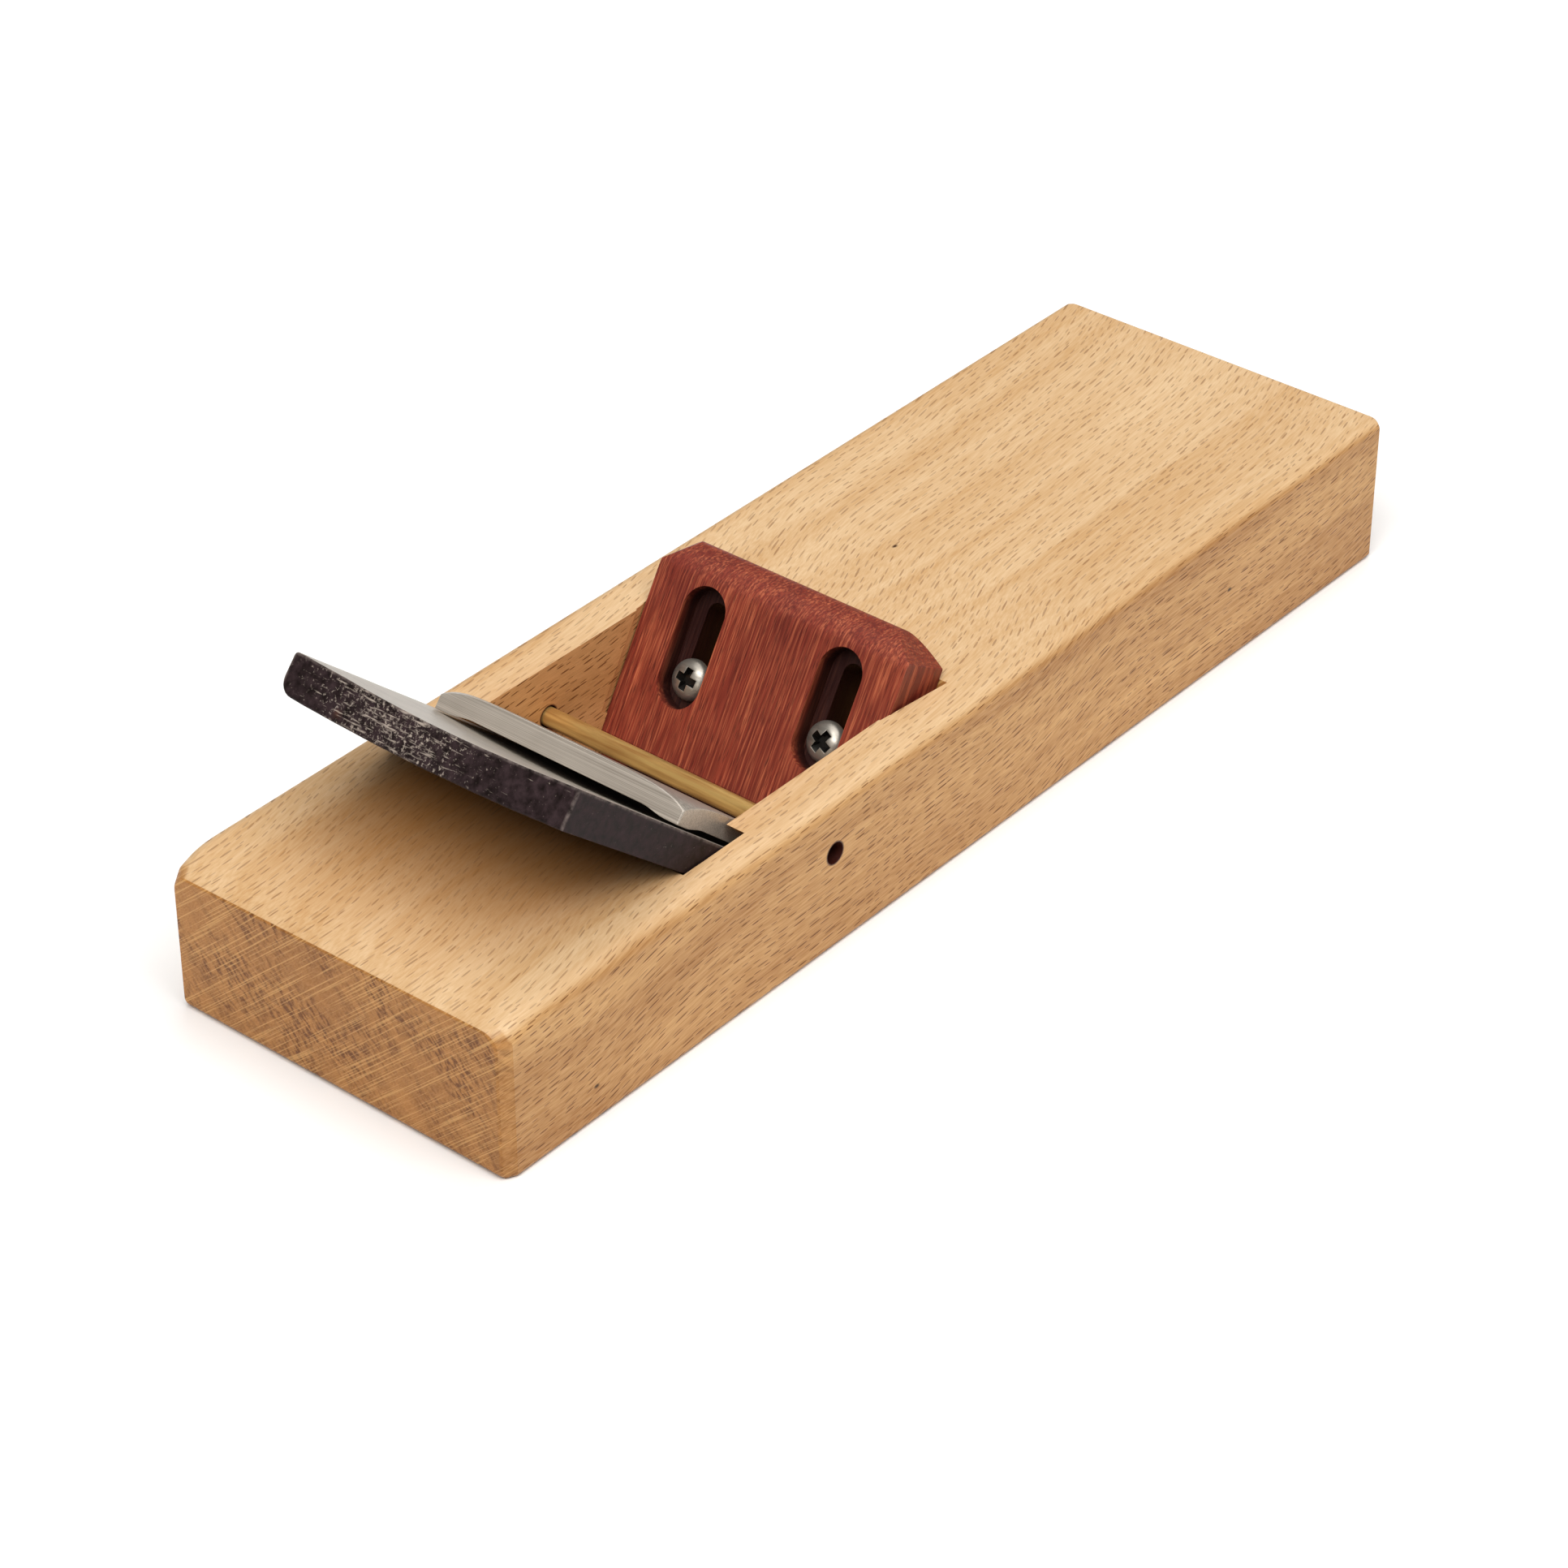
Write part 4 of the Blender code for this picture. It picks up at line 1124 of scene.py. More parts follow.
@dataclass(frozen=True)
class OiledBeech:
    """Rift-sawn beech, planed and lightly oiled. Scales are millimetres.

    Beech shows its rays as short brown dashes on the long faces and as fine pale lines on the end
    grain. They lie in sheets that lean across the block, so one solid pattern gives all faces. The
    planed top is painted paler as lit, and the sides and inner walls more saturated as shaded: painted light and shade
    on one wood. The top round the blade is darkened mostly by the blade's painted shadow, partly by oil off the blade.
    """

    ray_spacing: tuple[float, float] = (3.7, 1.08)
    ray_half: tuple[float, float] = (1.35, 0.125)
    line_spacing: float = 0.3
    ring: float = 4.2
    pore_length: float = 7.0
    pore_width: float = 0.3
    lean: float = -49.0
    drift: float = -5.3
    sway: float = 15.0
    # Painted light: one beech, its top's tones paler as lit, its sides' and inner walls' more saturated as shaded.
    top: tuple[str, str] = ("E1C197", "C69A67")
    side: tuple[str, str] = ("D8A96F", "A06B35")
    pared: tuple[str, str] = ("E6AB70", "C58B52")
    end: tuple[str, str] = ("B57C40", "6E4019")
    end_ray: str = "DBAA68"
    ray: str = "74441A"
    # Mostly the blade's painted shadow on the top round the throat, partly oil stain.
    oil_and_blade_shadow: str = "B8732F"
    blade_shadow_place: tuple = (-72.0, 0.0, 30.0)
    blade_shadow_reach: float = 70.0
    # Painted shade inside the pin's hole.
    hole_shade: str = "3A150D"
    knot: str = "4A2C14"
    knots: tuple = ((31.9, 6.3, 33.4), (82.6, -41.5, 17.7), (-113.5, -41.5, 7.6))

    def build(self) -> bpy.types.Material:
        """Builds the beech."""
        made, tree, shader = new_material("oiled_beech")
        place = add_node(tree, "ShaderNodeTexCoord")
        turned = add_node(tree, "ShaderNodeMapping", {
            "Vector": place.outputs["Object"],
            "Rotation": (math.radians(self.lean), 0.0, math.radians(self.drift)),
            "Scale": (1000.0, 1000.0, 1000.0),
        })
        grain = self.wavy(tree, turned.outputs[0])
        ray, ray_shade = self.rays(tree, grain)
        facing = add_node(tree, "ShaderNodeSeparateXYZ", {0: place.outputs["Normal"]})
        on_end = add_node(tree, "ShaderNodeMath", {0: facing.outputs["X"]}, operation="ABSOLUTE")
        on_end = add_node(tree, "ShaderNodeMapRange", {
            "Value": on_end.outputs[0], "From Min": 0.3, "From Max": 0.62,
        }, interpolation_type="SMOOTHSTEP")
        on_top = add_node(tree, "ShaderNodeMapRange", {
            "Value": facing.outputs["Z"], "From Min": 0.3, "From Max": 0.92,
        }, interpolation_type="SMOOTHSTEP")
        rings = self.band(tree, grain, (0.004, 0.03, 1.0 / self.ring), 0.36, 0.66)
        pores = self.band(tree, grain, (1.0 / self.pore_length, 1.0 / self.pore_width, 1.5), 0.34, 0.68)
        cloud = self.band(tree, grain, (0.012, 0.06, 0.06), 0.3, 0.7)
        shade = add_node(tree, "ShaderNodeMath", {0: rings, 1: 0.4}, operation="MULTIPLY")
        shade = add_node(tree, "ShaderNodeMath", {0: pores, 1: 0.42, 2: shade.outputs[0]}, operation="MULTIPLY_ADD")
        shade = add_node(tree, "ShaderNodeMath", {0: cloud, 1: 0.3, 2: shade.outputs[0]}, operation="MULTIPLY_ADD")
        # Painted light and shade: a lit top, shaded sides and shaded inner walls, as three tints of one beech.
        tones = (self.side, self.pared, self.top)
        side, pared, top = (self.blend(tree, shade.outputs[0], linear(a), linear(b)) for a, b in tones)
        ground = self.blend(tree, self.inside(tree, place.outputs["Object"]), side, pared)
        ground = self.blend(tree, on_top.outputs[0], ground, top)
        # The blade's painted shadow on the top, partly oil stain; the rays fade under it.
        oiled = self.oiled(tree, place.outputs["Object"], on_top.outputs[0])
        ground = self.blend(tree, oiled, ground, linear(self.oil_and_blade_shadow))
        softer = add_node(tree, "ShaderNodeMapRange", {"Value": on_top.outputs[0], "To Min": 1.0, "To Max": 0.55})
        strength = add_node(tree, "ShaderNodeMath", {0: ray_shade, 1: softer.outputs[0]}, operation="MULTIPLY")
        strength = add_node(tree, "ShaderNodeMath", {0: ray, 1: strength.outputs[0]}, operation="MULTIPLY")
        clear = add_node(tree, "ShaderNodeMapRange", {"Value": oiled, "To Min": 1.0, "To Max": 0.25})
        strength = add_node(tree, "ShaderNodeMath", {0: strength.outputs[0], 1: clear.outputs[0]}, operation="MULTIPLY")
        long_face = self.blend(tree, strength.outputs[0], ground, linear(self.ray))
        colour = self.blend(tree, on_end.outputs[0], long_face, self.end_grain(tree, grain, pores, rings))
        # Painted shade inside the pin's hole.
        colour = self.shade_pin_hole(tree, place.outputs["Object"], colour)
        colour = self.knotted(tree, place.outputs["Object"], colour)
        rough = add_node(tree, "ShaderNodeMapRange", {"Value": pores, "To Min": 0.42, "To Max": 0.58})
        relief = add_node(tree, "ShaderNodeMath", {0: ray, 1: 0.6, 2: pores}, operation="MULTIPLY_ADD")
        bump = add_node(tree, "ShaderNodeBump", {
            "Strength": 0.35, "Distance": mm(0.05), "Height": relief.outputs[0],
        }, invert=True)
        tree.links.new(colour, shader.inputs["Base Color"])
        tree.links.new(rough.outputs[0], shader.inputs["Roughness"])
        tree.links.new(bump.outputs[0], shader.inputs["Normal"])
        shader.inputs["IOR"].default_value = 1.46
        shader.inputs["Specular IOR Level"].default_value = 0.35
        return made

    def blend(self, tree: bpy.types.NodeTree, share: Feed, first: Feed, second: Feed) -> bpy.types.NodeSocket:
        """Mixes two colours by a share."""
        return add_node(tree, "ShaderNodeMix", {0: share, 6: first, 7: second}, data_type="RGBA").outputs[2]

    def band(
        self, tree: bpy.types.NodeTree, grain: bpy.types.NodeSocket, scales: tuple, low: float, high: float
    ) -> bpy.types.NodeSocket:
        """Noise at a scale per millimetre along each axis, stretched to run from 0 to 1."""
        spaced = add_node(tree, "ShaderNodeVectorMath", {0: grain, 1: scales}, operation="MULTIPLY")
        field = add_node(tree, "ShaderNodeTexNoise", {"Vector": spaced.outputs[0], "Scale": 1.0, "Detail": 2.0})
        return add_node(tree, "ShaderNodeMapRange", {
            "Value": field.outputs[0], "From Min": low, "From Max": high,
        }).outputs[0]

    def wavy(self, tree: bpy.types.NodeTree, straight: bpy.types.NodeSocket) -> bpy.types.NodeSocket:
        """Bends straight grain by a couple of millimetres over each palm's width."""
        slow = add_node(tree, "ShaderNodeVectorMath", {0: straight, 1: (0.011, 0.003, 0.003)}, operation="MULTIPLY")
        drift = add_node(tree, "ShaderNodeTexNoise", {"Vector": slow.outputs[0], "Scale": 1.0, "Detail": 1.0})
        centred = add_node(tree, "ShaderNodeVectorMath", {
            0: drift.outputs["Color"], 1: (-0.5, -0.5, -0.5),
        }, operation="ADD")
        bend = add_node(tree, "ShaderNodeVectorMath", {
            0: centred.outputs[0], 1: (6.0, self.sway, self.sway), 2: straight,
        }, operation="MULTIPLY_ADD")
        return bend.outputs[0]

    def rays(
        self, tree: bpy.types.NodeTree, grain: bpy.types.NodeSocket
    ) -> tuple[bpy.types.NodeSocket, bpy.types.NodeSocket]:
        """Ray dashes: slim ellipses side on, which run far along the third axis.

        Args:
            tree: the material's tree.
            grain: the wood's own coordinates, in millimetres.

        Returns:
            The dashes from 0 to 1, and how dark each of them is.
        """
        stray = add_node(tree, "ShaderNodeVectorMath", {0: grain, 1: (0.03, 0.03, 0.05)}, operation="MULTIPLY")
        wander = add_node(tree, "ShaderNodeTexNoise", {"Vector": stray.outputs[0], "Scale": 1.0, "Detail": 1.0})
        moved = add_node(tree, "ShaderNodeVectorMath", {
            0: wander.outputs["Color"], 1: (16.0, 1.5, 0.0), 2: grain,
        }, operation="MULTIPLY_ADD")
        long, wide = self.ray_spacing
        cells = add_node(tree, "ShaderNodeVectorMath", {
            0: moved.outputs[0], 1: (1.0 / long, 1.0 / wide, 0.0),
        }, operation="MULTIPLY")
        spots = add_node(tree, "ShaderNodeTexVoronoi", {
            "Vector": cells.outputs[0], "Scale": 1.0, "Randomness": 0.85,
        }, voronoi_dimensions="2D")
        away = add_node(tree, "ShaderNodeVectorMath", {
            0: cells.outputs[0], 1: spots.outputs["Position"],
        }, operation="SUBTRACT")
        half_long, half_wide = self.ray_half
        shaped = add_node(tree, "ShaderNodeVectorMath", {
            0: away.outputs[0], 1: (long / half_long, wide / half_wide, 0.0),
        }, operation="MULTIPLY")
        reach = add_node(tree, "ShaderNodeVectorMath", {0: shaped.outputs[0]}, operation="LENGTH")
        chance = add_node(tree, "ShaderNodeSeparateColor", {0: spots.outputs["Color"]})
        size = add_node(tree, "ShaderNodeMapRange", {"Value": chance.outputs[0], "To Min": 0.6, "To Max": 1.25})
        inside = add_node(tree, "ShaderNodeMath", {
            0: size.outputs[0], 1: reach.outputs["Value"],
        }, operation="SUBTRACT")
        dash = add_node(tree, "ShaderNodeMapRange", {
            "Value": inside.outputs[0], "From Min": -0.08, "From Max": 0.22,
        }, interpolation_type="SMOOTHSTEP")
        dark = add_node(tree, "ShaderNodeMapRange", {"Value": chance.outputs[1], "To Min": 0.5, "To Max": 1.0})
        return dash.outputs[0], dark.outputs[0]

    def inside(self, tree: bpy.types.NodeTree, place: bpy.types.NodeSocket) -> bpy.types.NodeSocket:
        """Whether a wall is one of the pared ones inside the block, from 0 to 1: these take the painted-shade tint."""
        apart = add_node(tree, "ShaderNodeSeparateXYZ", {0: place})
        out = add_node(tree, "ShaderNodeMath", {0: apart.outputs["Y"]}, operation="ABSOLUTE")
        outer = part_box("plane_block")[1].y
        within = add_node(tree, "ShaderNodeMapRange", {
            "Value": out.outputs[0], "From Min": outer - mm(2.0), "From Max": outer - mm(4.0),
        }).outputs[0]
        along = add_node(tree, "ShaderNodeMath", {0: apart.outputs["X"]}, operation="ABSOLUTE")
        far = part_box("plane_block")[1].x
        amid = add_node(tree, "ShaderNodeMapRange", {
            "Value": along.outputs[0], "From Min": far - mm(12.0), "From Max": far - mm(16.0),
        })
        return add_node(tree, "ShaderNodeMath", {0: within, 1: amid.outputs[0]}, operation="MULTIPLY").outputs[0]

    def end_grain(
        self,
        tree: bpy.types.NodeTree,
        grain: bpy.types.NodeSocket,
        pores: bpy.types.NodeSocket,
        rings: bpy.types.NodeSocket,
    ) -> bpy.types.NodeSocket:
        """The end grain's colour: dark flecks along the rings, crossed by fine pale rays."""
        flecks = self.band(tree, grain, (0.05, 0.45, 1.3), 0.44, 0.64)
        bands = self.band(tree, grain, (0.02, 0.06, 0.11), 0.34, 0.68)
        banded = add_node(tree, "ShaderNodeMath", {0: flecks, 1: bands}, operation="MULTIPLY")
        depth = add_node(tree, "ShaderNodeMath", {0: rings, 1: 0.28, 2: banded.outputs[0]}, operation="MULTIPLY_ADD")
        depth = add_node(tree, "ShaderNodeMath", {
            0: pores, 1: 0.25, 2: depth.outputs[0],
        }, operation="MULTIPLY_ADD", use_clamp=True)
        ground = self.blend(tree, depth.outputs[0], linear(self.end[0]), linear(self.end[1]))
        pale = self.band(tree, grain, (0.05, 1.0 / self.line_spacing, 0.05), 0.53, 0.64)
        share = add_node(tree, "ShaderNodeMath", {0: pale, 1: 0.55}, operation="MULTIPLY", use_clamp=True)
        return self.blend(tree, share.outputs[0], ground, linear(self.end_ray))

    def oiled(
        self, tree: bpy.types.NodeTree, place: bpy.types.NodeSocket, on_top: bpy.types.NodeSocket
    ) -> bpy.types.NodeSocket:
        """How much the blade's painted shadow, partly oil stain, darkens the top round the throat, from 0 to about a
        half.
        """
        away = add_node(tree, "ShaderNodeVectorMath", {
            0: place, 1: tuple(mm(value) for value in self.blade_shadow_place),
        }, operation="SUBTRACT")
        squeezed = add_node(tree, "ShaderNodeVectorMath", {
            0: away.outputs[0], 1: (1.0, 0.8, 1.0),
        }, operation="MULTIPLY")
        distance = add_node(tree, "ShaderNodeVectorMath", {0: squeezed.outputs[0]}, operation="LENGTH")
        shadow_and_soak = add_node(tree, "ShaderNodeMapRange", {
            "Value": distance.outputs["Value"],
            "From Min": mm(self.blade_shadow_reach), "From Max": mm(self.blade_shadow_reach * 0.3), "To Max": 0.72,
        }, interpolation_type="SMOOTHSTEP")
        apart = add_node(tree, "ShaderNodeSeparateXYZ", {0: place})
        out = add_node(tree, "ShaderNodeMath", {0: apart.outputs["Y"]}, operation="ABSOLUTE")
        inner = add_node(tree, "ShaderNodeMapRange", {
            "Value": out.outputs[0], "From Min": mm(36.0), "From Max": mm(22.0), "To Min": 0.12,
        }, interpolation_type="SMOOTHSTEP")
        shadow_and_soak = add_node(tree, "ShaderNodeMath", {0: shadow_and_soak.outputs[0], 1: inner.outputs[0]}, operation="MULTIPLY")
        return add_node(tree, "ShaderNodeMath", {0: shadow_and_soak.outputs[0], 1: on_top}, operation="MULTIPLY").outputs[0]

    def shade_pin_hole(
        self, tree: bpy.types.NodeTree, place: bpy.types.NodeSocket, colour: bpy.types.NodeSocket
    ) -> bpy.types.NodeSocket:
        """Darkens the wall of the pin's hole with painted shade."""
        low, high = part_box("retaining_pin")
        middle = (low + high) / 2
        away = add_node(tree, "ShaderNodeVectorMath", {
            0: place, 1: (middle.x, 0.0, middle.z),
        }, operation="SUBTRACT")
        across = add_node(tree, "ShaderNodeVectorMath", {0: away.outputs[0], 1: (1.0, 0.0, 1.0)}, operation="MULTIPLY")
        distance = add_node(tree, "ShaderNodeVectorMath", {0: across.outputs[0]}, operation="LENGTH")
        hole_wall = add_node(tree, "ShaderNodeMapRange", {
            "Value": distance.outputs["Value"], "From Min": mm(2.75), "From Max": mm(2.35),
        })
        apart = add_node(tree, "ShaderNodeSeparateXYZ", {0: place})
        open_end = add_node(tree, "ShaderNodeMapRange", {
            "Value": apart.outputs["Y"], "From Min": high.y, "From Max": high.y - mm(0.5),
        })
        share = add_node(tree, "ShaderNodeMath", {
            0: hole_wall.outputs[0], 1: open_end.outputs[0],
        }, operation="MULTIPLY")
        return self.blend(tree, share.outputs[0], colour, linear(self.hole_shade))

    def knotted(
        self, tree: bpy.types.NodeTree, place: bpy.types.NodeSocket, colour: bpy.types.NodeSocket
    ) -> bpy.types.NodeSocket:
        """Adds the few pin knots, each a dark speck about a millimetre long."""
        for knot in self.knots:
            away = add_node(tree, "ShaderNodeVectorMath", {
                0: place, 1: tuple(mm(value) for value in knot),
            }, operation="SUBTRACT")
            squeezed = add_node(tree, "ShaderNodeVectorMath", {
                0: away.outputs[0], 1: (0.6, 1.0, 1.0),
            }, operation="MULTIPLY")
            distance = add_node(tree, "ShaderNodeVectorMath", {0: squeezed.outputs[0]}, operation="LENGTH")
            speck = add_node(tree, "ShaderNodeMapRange", {
                "Value": distance.outputs["Value"], "From Min": mm(0.55), "From Max": mm(0.2),
            })
            colour = self.blend(tree, speck.outputs[0], colour, linear(self.knot))
        return colour


@dataclass(frozen=True)
class RedHardwood:
    """Dense red hardwood, scraped and oiled. Scales are millimetres.

    Its grain runs up the face, with narrow brighter ribbons and open pores that show as short
    dark lines on the face and as dots where the crowned top cuts across them.
    """

    slant: Slant
    ribbon: float = 0.42
    pore_length: float = 4.0
    pore_width: float = 0.42
    ground: str = "8F3825"
    bright: str = "BC6442"
    deep: str = "571B17"
    pore: str = "2E0D0B"
    # Painted shade deep in the slots.
    grime: str = "160605"

    def build(self) -> bpy.types.Material:
        """Builds the hardwood."""
        made, tree, shader = new_material("oiled_red_hardwood")
        place = add_node(tree, "ShaderNodeTexCoord")
        turned = add_node(tree, "ShaderNodeMapping", {
            "Vector": place.outputs["Object"],
            "Location": (
                -1000.0 * self.slant.origin.dot(self.slant.along), 0.0, -1000.0 * self.slant.origin.dot(self.slant.outward)
            ),
            "Rotation": (0.0, self.slant.lean(), 0.0),
            "Scale": (1000.0, 1000.0, 1000.0),
        })
        fields = []
        for scales, low, high, detail in (
            ((0.05, 1.0 / self.ribbon, 0.5), 0.42, 0.62, 3.0),
            ((0.1, 2.6, 1.6), 0.4, 0.62, 2.0),
            ((0.03, 0.14, 0.14), 0.3, 0.7, 1.0),
        ):
            spaced = add_node(tree, "ShaderNodeVectorMath", {
                0: turned.outputs[0], 1: scales,
            }, operation="MULTIPLY")
            field = add_node(tree, "ShaderNodeTexNoise", {
                "Vector": spaced.outputs[0], "Scale": 1.0, "Detail": detail, "Distortion": 0.25,
            })
            band = add_node(tree, "ShaderNodeMapRange", {
                "Value": field.outputs[0], "From Min": low, "From Max": high,
            })
            fields.append(band.outputs[0])
        ribbon, fibre, cloud = fields
        lit = add_node(tree, "ShaderNodeMath", {0: fibre, 1: 0.6, 2: 0.4}, operation="MULTIPLY_ADD")
        lit = add_node(tree, "ShaderNodeMath", {0: ribbon, 1: lit.outputs[0]}, operation="MULTIPLY")
        first = add_node(tree, "ShaderNodeMix", {
            0: lit.outputs[0], 6: linear(self.ground), 7: linear(self.bright),
        }, data_type="RGBA")
        dull = add_node(tree, "ShaderNodeMath", {0: fibre, 1: -0.5, 2: 0.5}, operation="MULTIPLY_ADD")
        shade = add_node(tree, "ShaderNodeMath", {0: cloud, 1: 0.3, 2: dull.outputs[0]}, operation="MULTIPLY_ADD")
        second = add_node(tree, "ShaderNodeMix", {
            0: shade.outputs[0], 6: first.outputs[2], 7: linear(self.deep),
        }, data_type="RGBA")
        pore = self.pores(tree, turned.outputs[0])
        third = add_node(tree, "ShaderNodeMix", {0: pore, 6: second.outputs[2], 7: linear(self.pore)}, data_type="RGBA")
        # Painted shade deep in the slots, darkening with depth.
        slot_shade = self.in_slots(tree, turned.outputs[0])
        fourth = add_node(tree, "ShaderNodeMix", {
            0: slot_shade, 6: third.outputs[2], 7: linear(self.grime),
        }, data_type="RGBA")
        rough = add_node(tree, "ShaderNodeMapRange", {"Value": fibre, "To Min": 0.42, "To Max": 0.58})
        bump = add_node(tree, "ShaderNodeBump", {"Strength": 0.4, "Distance": mm(0.06), "Height": pore}, invert=True)
        tree.links.new(fourth.outputs[2], shader.inputs["Base Color"])
        tree.links.new(rough.outputs[0], shader.inputs["Roughness"])
        tree.links.new(bump.outputs[0], shader.inputs["Normal"])
        shader.inputs["IOR"].default_value = 1.5
        shader.inputs["Specular IOR Level"].default_value = 0.3
        return made

    def in_slots(self, tree: bpy.types.NodeTree, grain: bpy.types.NodeSocket) -> bpy.types.NodeSocket:
        """How much painted shade darkens the wood: deep in the slots, and nowhere else."""
        apart = add_node(tree, "ShaderNodeSeparateXYZ", {0: grain})
        side = add_node(tree, "ShaderNodeMath", {0: apart.outputs["Y"]}, operation="ABSOLUTE")
        slot_shade = add_node(tree, "ShaderNodeMapRange", {
            "Value": apart.outputs["Z"], "From Min": -0.1, "From Max": -2.6, "To Max": 0.9,
        }).outputs[0]
        for value, low, high in ((side.outputs[0], 25.0, 24.0), (apart.outputs["X"], 48.0, 47.4)):
            within = add_node(tree, "ShaderNodeMapRange", {"Value": value, "From Min": low, "From Max": high})
            slot_shade = add_node(tree, "ShaderNodeMath", {0: slot_shade, 1: within.outputs[0]}, operation="MULTIPLY").outputs[0]
        return slot_shade

    def pores(self, tree: bpy.types.NodeTree, grain: bpy.types.NodeSocket) -> bpy.types.NodeSocket:
        """Open pores: slim tubes along the grain, from 0 to 1."""
        cells = add_node(tree, "ShaderNodeVectorMath", {
            0: grain, 1: (1.0 / self.pore_length, 1.0 / self.pore_width, 1.0 / self.pore_width),
        }, operation="MULTIPLY")
        spots = add_node(tree, "ShaderNodeTexVoronoi", {"Vector": cells.outputs[0], "Scale": 1.0})
        tube = add_node(tree, "ShaderNodeMapRange", {
            "Value": spots.outputs["Distance"], "From Min": 0.3, "From Max": 0.16, "To Max": 0.5,
        })
        return tube.outputs[0]


@dataclass(frozen=True)
class ForgedSteel:
    """Iron forged and quenched, with its dark scale left on. Scales are millimetres.

    The scale is near black and slightly violet. Handling has bared the steel along the head's
    edges and in pale specks and scratches left of its middle, and left a spot of rust.
    """

    scale_dark: str = "18100F"
    scale_light: str = "392B2D"
    bare: str = "B9AA9C"
    edge: str = "8C7E77"
    rust: str = "9A5A22"
    wear_place: tuple = (-105.0, 8.0, 64.0)
    wear_reach: float = 34.0
    rust_place: tuple = (-111.0, 20.0, 59.5)

    def near(
        self, tree: bpy.types.NodeTree, place: bpy.types.NodeSocket, spot: tuple, reach: float
    ) -> bpy.types.NodeSocket:
        """How near a point is to a spot: 1 there, 0 at the reach."""
        away = add_node(tree, "ShaderNodeVectorMath", {
            0: place, 1: tuple(mm(value) for value in spot),
        }, operation="DISTANCE")
        close = add_node(tree, "ShaderNodeMapRange", {
            "Value": away.outputs["Value"], "From Min": mm(reach), "From Max": mm(reach * 0.15),
        }, interpolation_type="SMOOTHSTEP")
        return close.outputs[0]

    def specks(
        self, tree: bpy.types.NodeTree, place: bpy.types.NodeSocket, rubbed: bpy.types.NodeSocket
    ) -> bpy.types.NodeSocket:
        """Bare specks and scratches: thick where the head is rubbed, and a few elsewhere."""
        fine = add_node(tree, "ShaderNodeTexNoise", {
            "Vector": place, "Scale": 1300.0, "Detail": 4.0, "Roughness": 0.72,
        })
        drawn = add_node(tree, "ShaderNodeVectorMath", {0: place, 1: (900.0, 260.0, 2600.0)}, operation="MULTIPLY")
        lines = add_node(tree, "ShaderNodeTexNoise", {"Vector": drawn.outputs[0], "Scale": 1.0, "Detail": 3.0})
        thin = add_node(tree, "ShaderNodeMath", {0: lines.outputs[0], 1: 0.035}, operation="SUBTRACT")
        both = add_node(tree, "ShaderNodeMath", {0: fine.outputs[0], 1: thin.outputs[0]}, operation="MAXIMUM")
        floor = add_node(tree, "ShaderNodeMapRange", {"Value": rubbed, "To Min": 0.66, "To Max": 0.52})
        over = add_node(tree, "ShaderNodeMath", {0: both.outputs[0], 1: floor.outputs[0]}, operation="SUBTRACT")
        return add_node(tree, "ShaderNodeMapRange", {
            "Value": over.outputs[0], "From Max": 0.14, "To Max": 0.8,
        }).outputs[0]

    def build(self) -> bpy.types.Material:
        """Builds the forged steel."""
        made, tree, shader = new_material("forge_scale_steel")
        place = add_node(tree, "ShaderNodeTexCoord").outputs["Object"]
        mottle = add_node(tree, "ShaderNodeTexNoise", {"Vector": place, "Scale": 520.0, "Detail": 6.0, "Roughness": 0.6})
        tone = add_node(tree, "ShaderNodeMapRange", {"Value": mottle.outputs[0], "From Min": 0.35, "From Max": 0.7})
        skin = add_node(tree, "ShaderNodeMix", {
            0: tone.outputs[0], 6: linear(self.scale_dark), 7: linear(self.scale_light),
        }, data_type="RGBA")
        rubbed = self.near(tree, place, self.wear_place, self.wear_reach)
        worn = add_node(tree, "ShaderNodeMix", {
            0: self.specks(tree, place, rubbed), 6: skin.outputs[2], 7: linear(self.bare),
        }, data_type="RGBA")
        wear = add_node(tree, "ShaderNodeAttribute", attribute_name="wear")
        line = add_node(tree, "ShaderNodeMapRange", {
            "Value": wear.outputs["Fac"], "From Min": 0.45, "From Max": 1.0, "To Max": 0.9,
        })
        broken = add_node(tree, "ShaderNodeMath", {0: line.outputs[0], 1: tone.outputs[0]}, operation="MULTIPLY")
        edged = add_node(tree, "ShaderNodeMix", {
            0: broken.outputs[0], 6: worn.outputs[2], 7: linear(self.edge),
        }, data_type="RGBA")
        spot = self.near(tree, place, self.rust_place, 2.6)
        rusty = add_node(tree, "ShaderNodeMath", {0: spot, 1: tone.outputs[0]}, operation="MULTIPLY")
        colour = add_node(tree, "ShaderNodeMix", {
            0: rusty.outputs[0], 6: edged.outputs[2], 7: linear(self.rust),
        }, data_type="RGBA")
        rough = add_node(tree, "ShaderNodeMapRange", {"Value": tone.outputs[0], "To Min": 0.42, "To Max": 0.66})
        bump = add_node(tree, "ShaderNodeBump", {
            "Strength": 0.5, "Distance": mm(0.06), "Height": mottle.outputs[0],
        })
        tree.links.new(colour.outputs[2], shader.inputs["Base Color"])
        tree.links.new(rough.outputs[0], shader.inputs["Roughness"])
        tree.links.new(bump.outputs[0], shader.inputs["Normal"])
        shader.inputs["Specular IOR Level"].default_value = 0.1
        return made


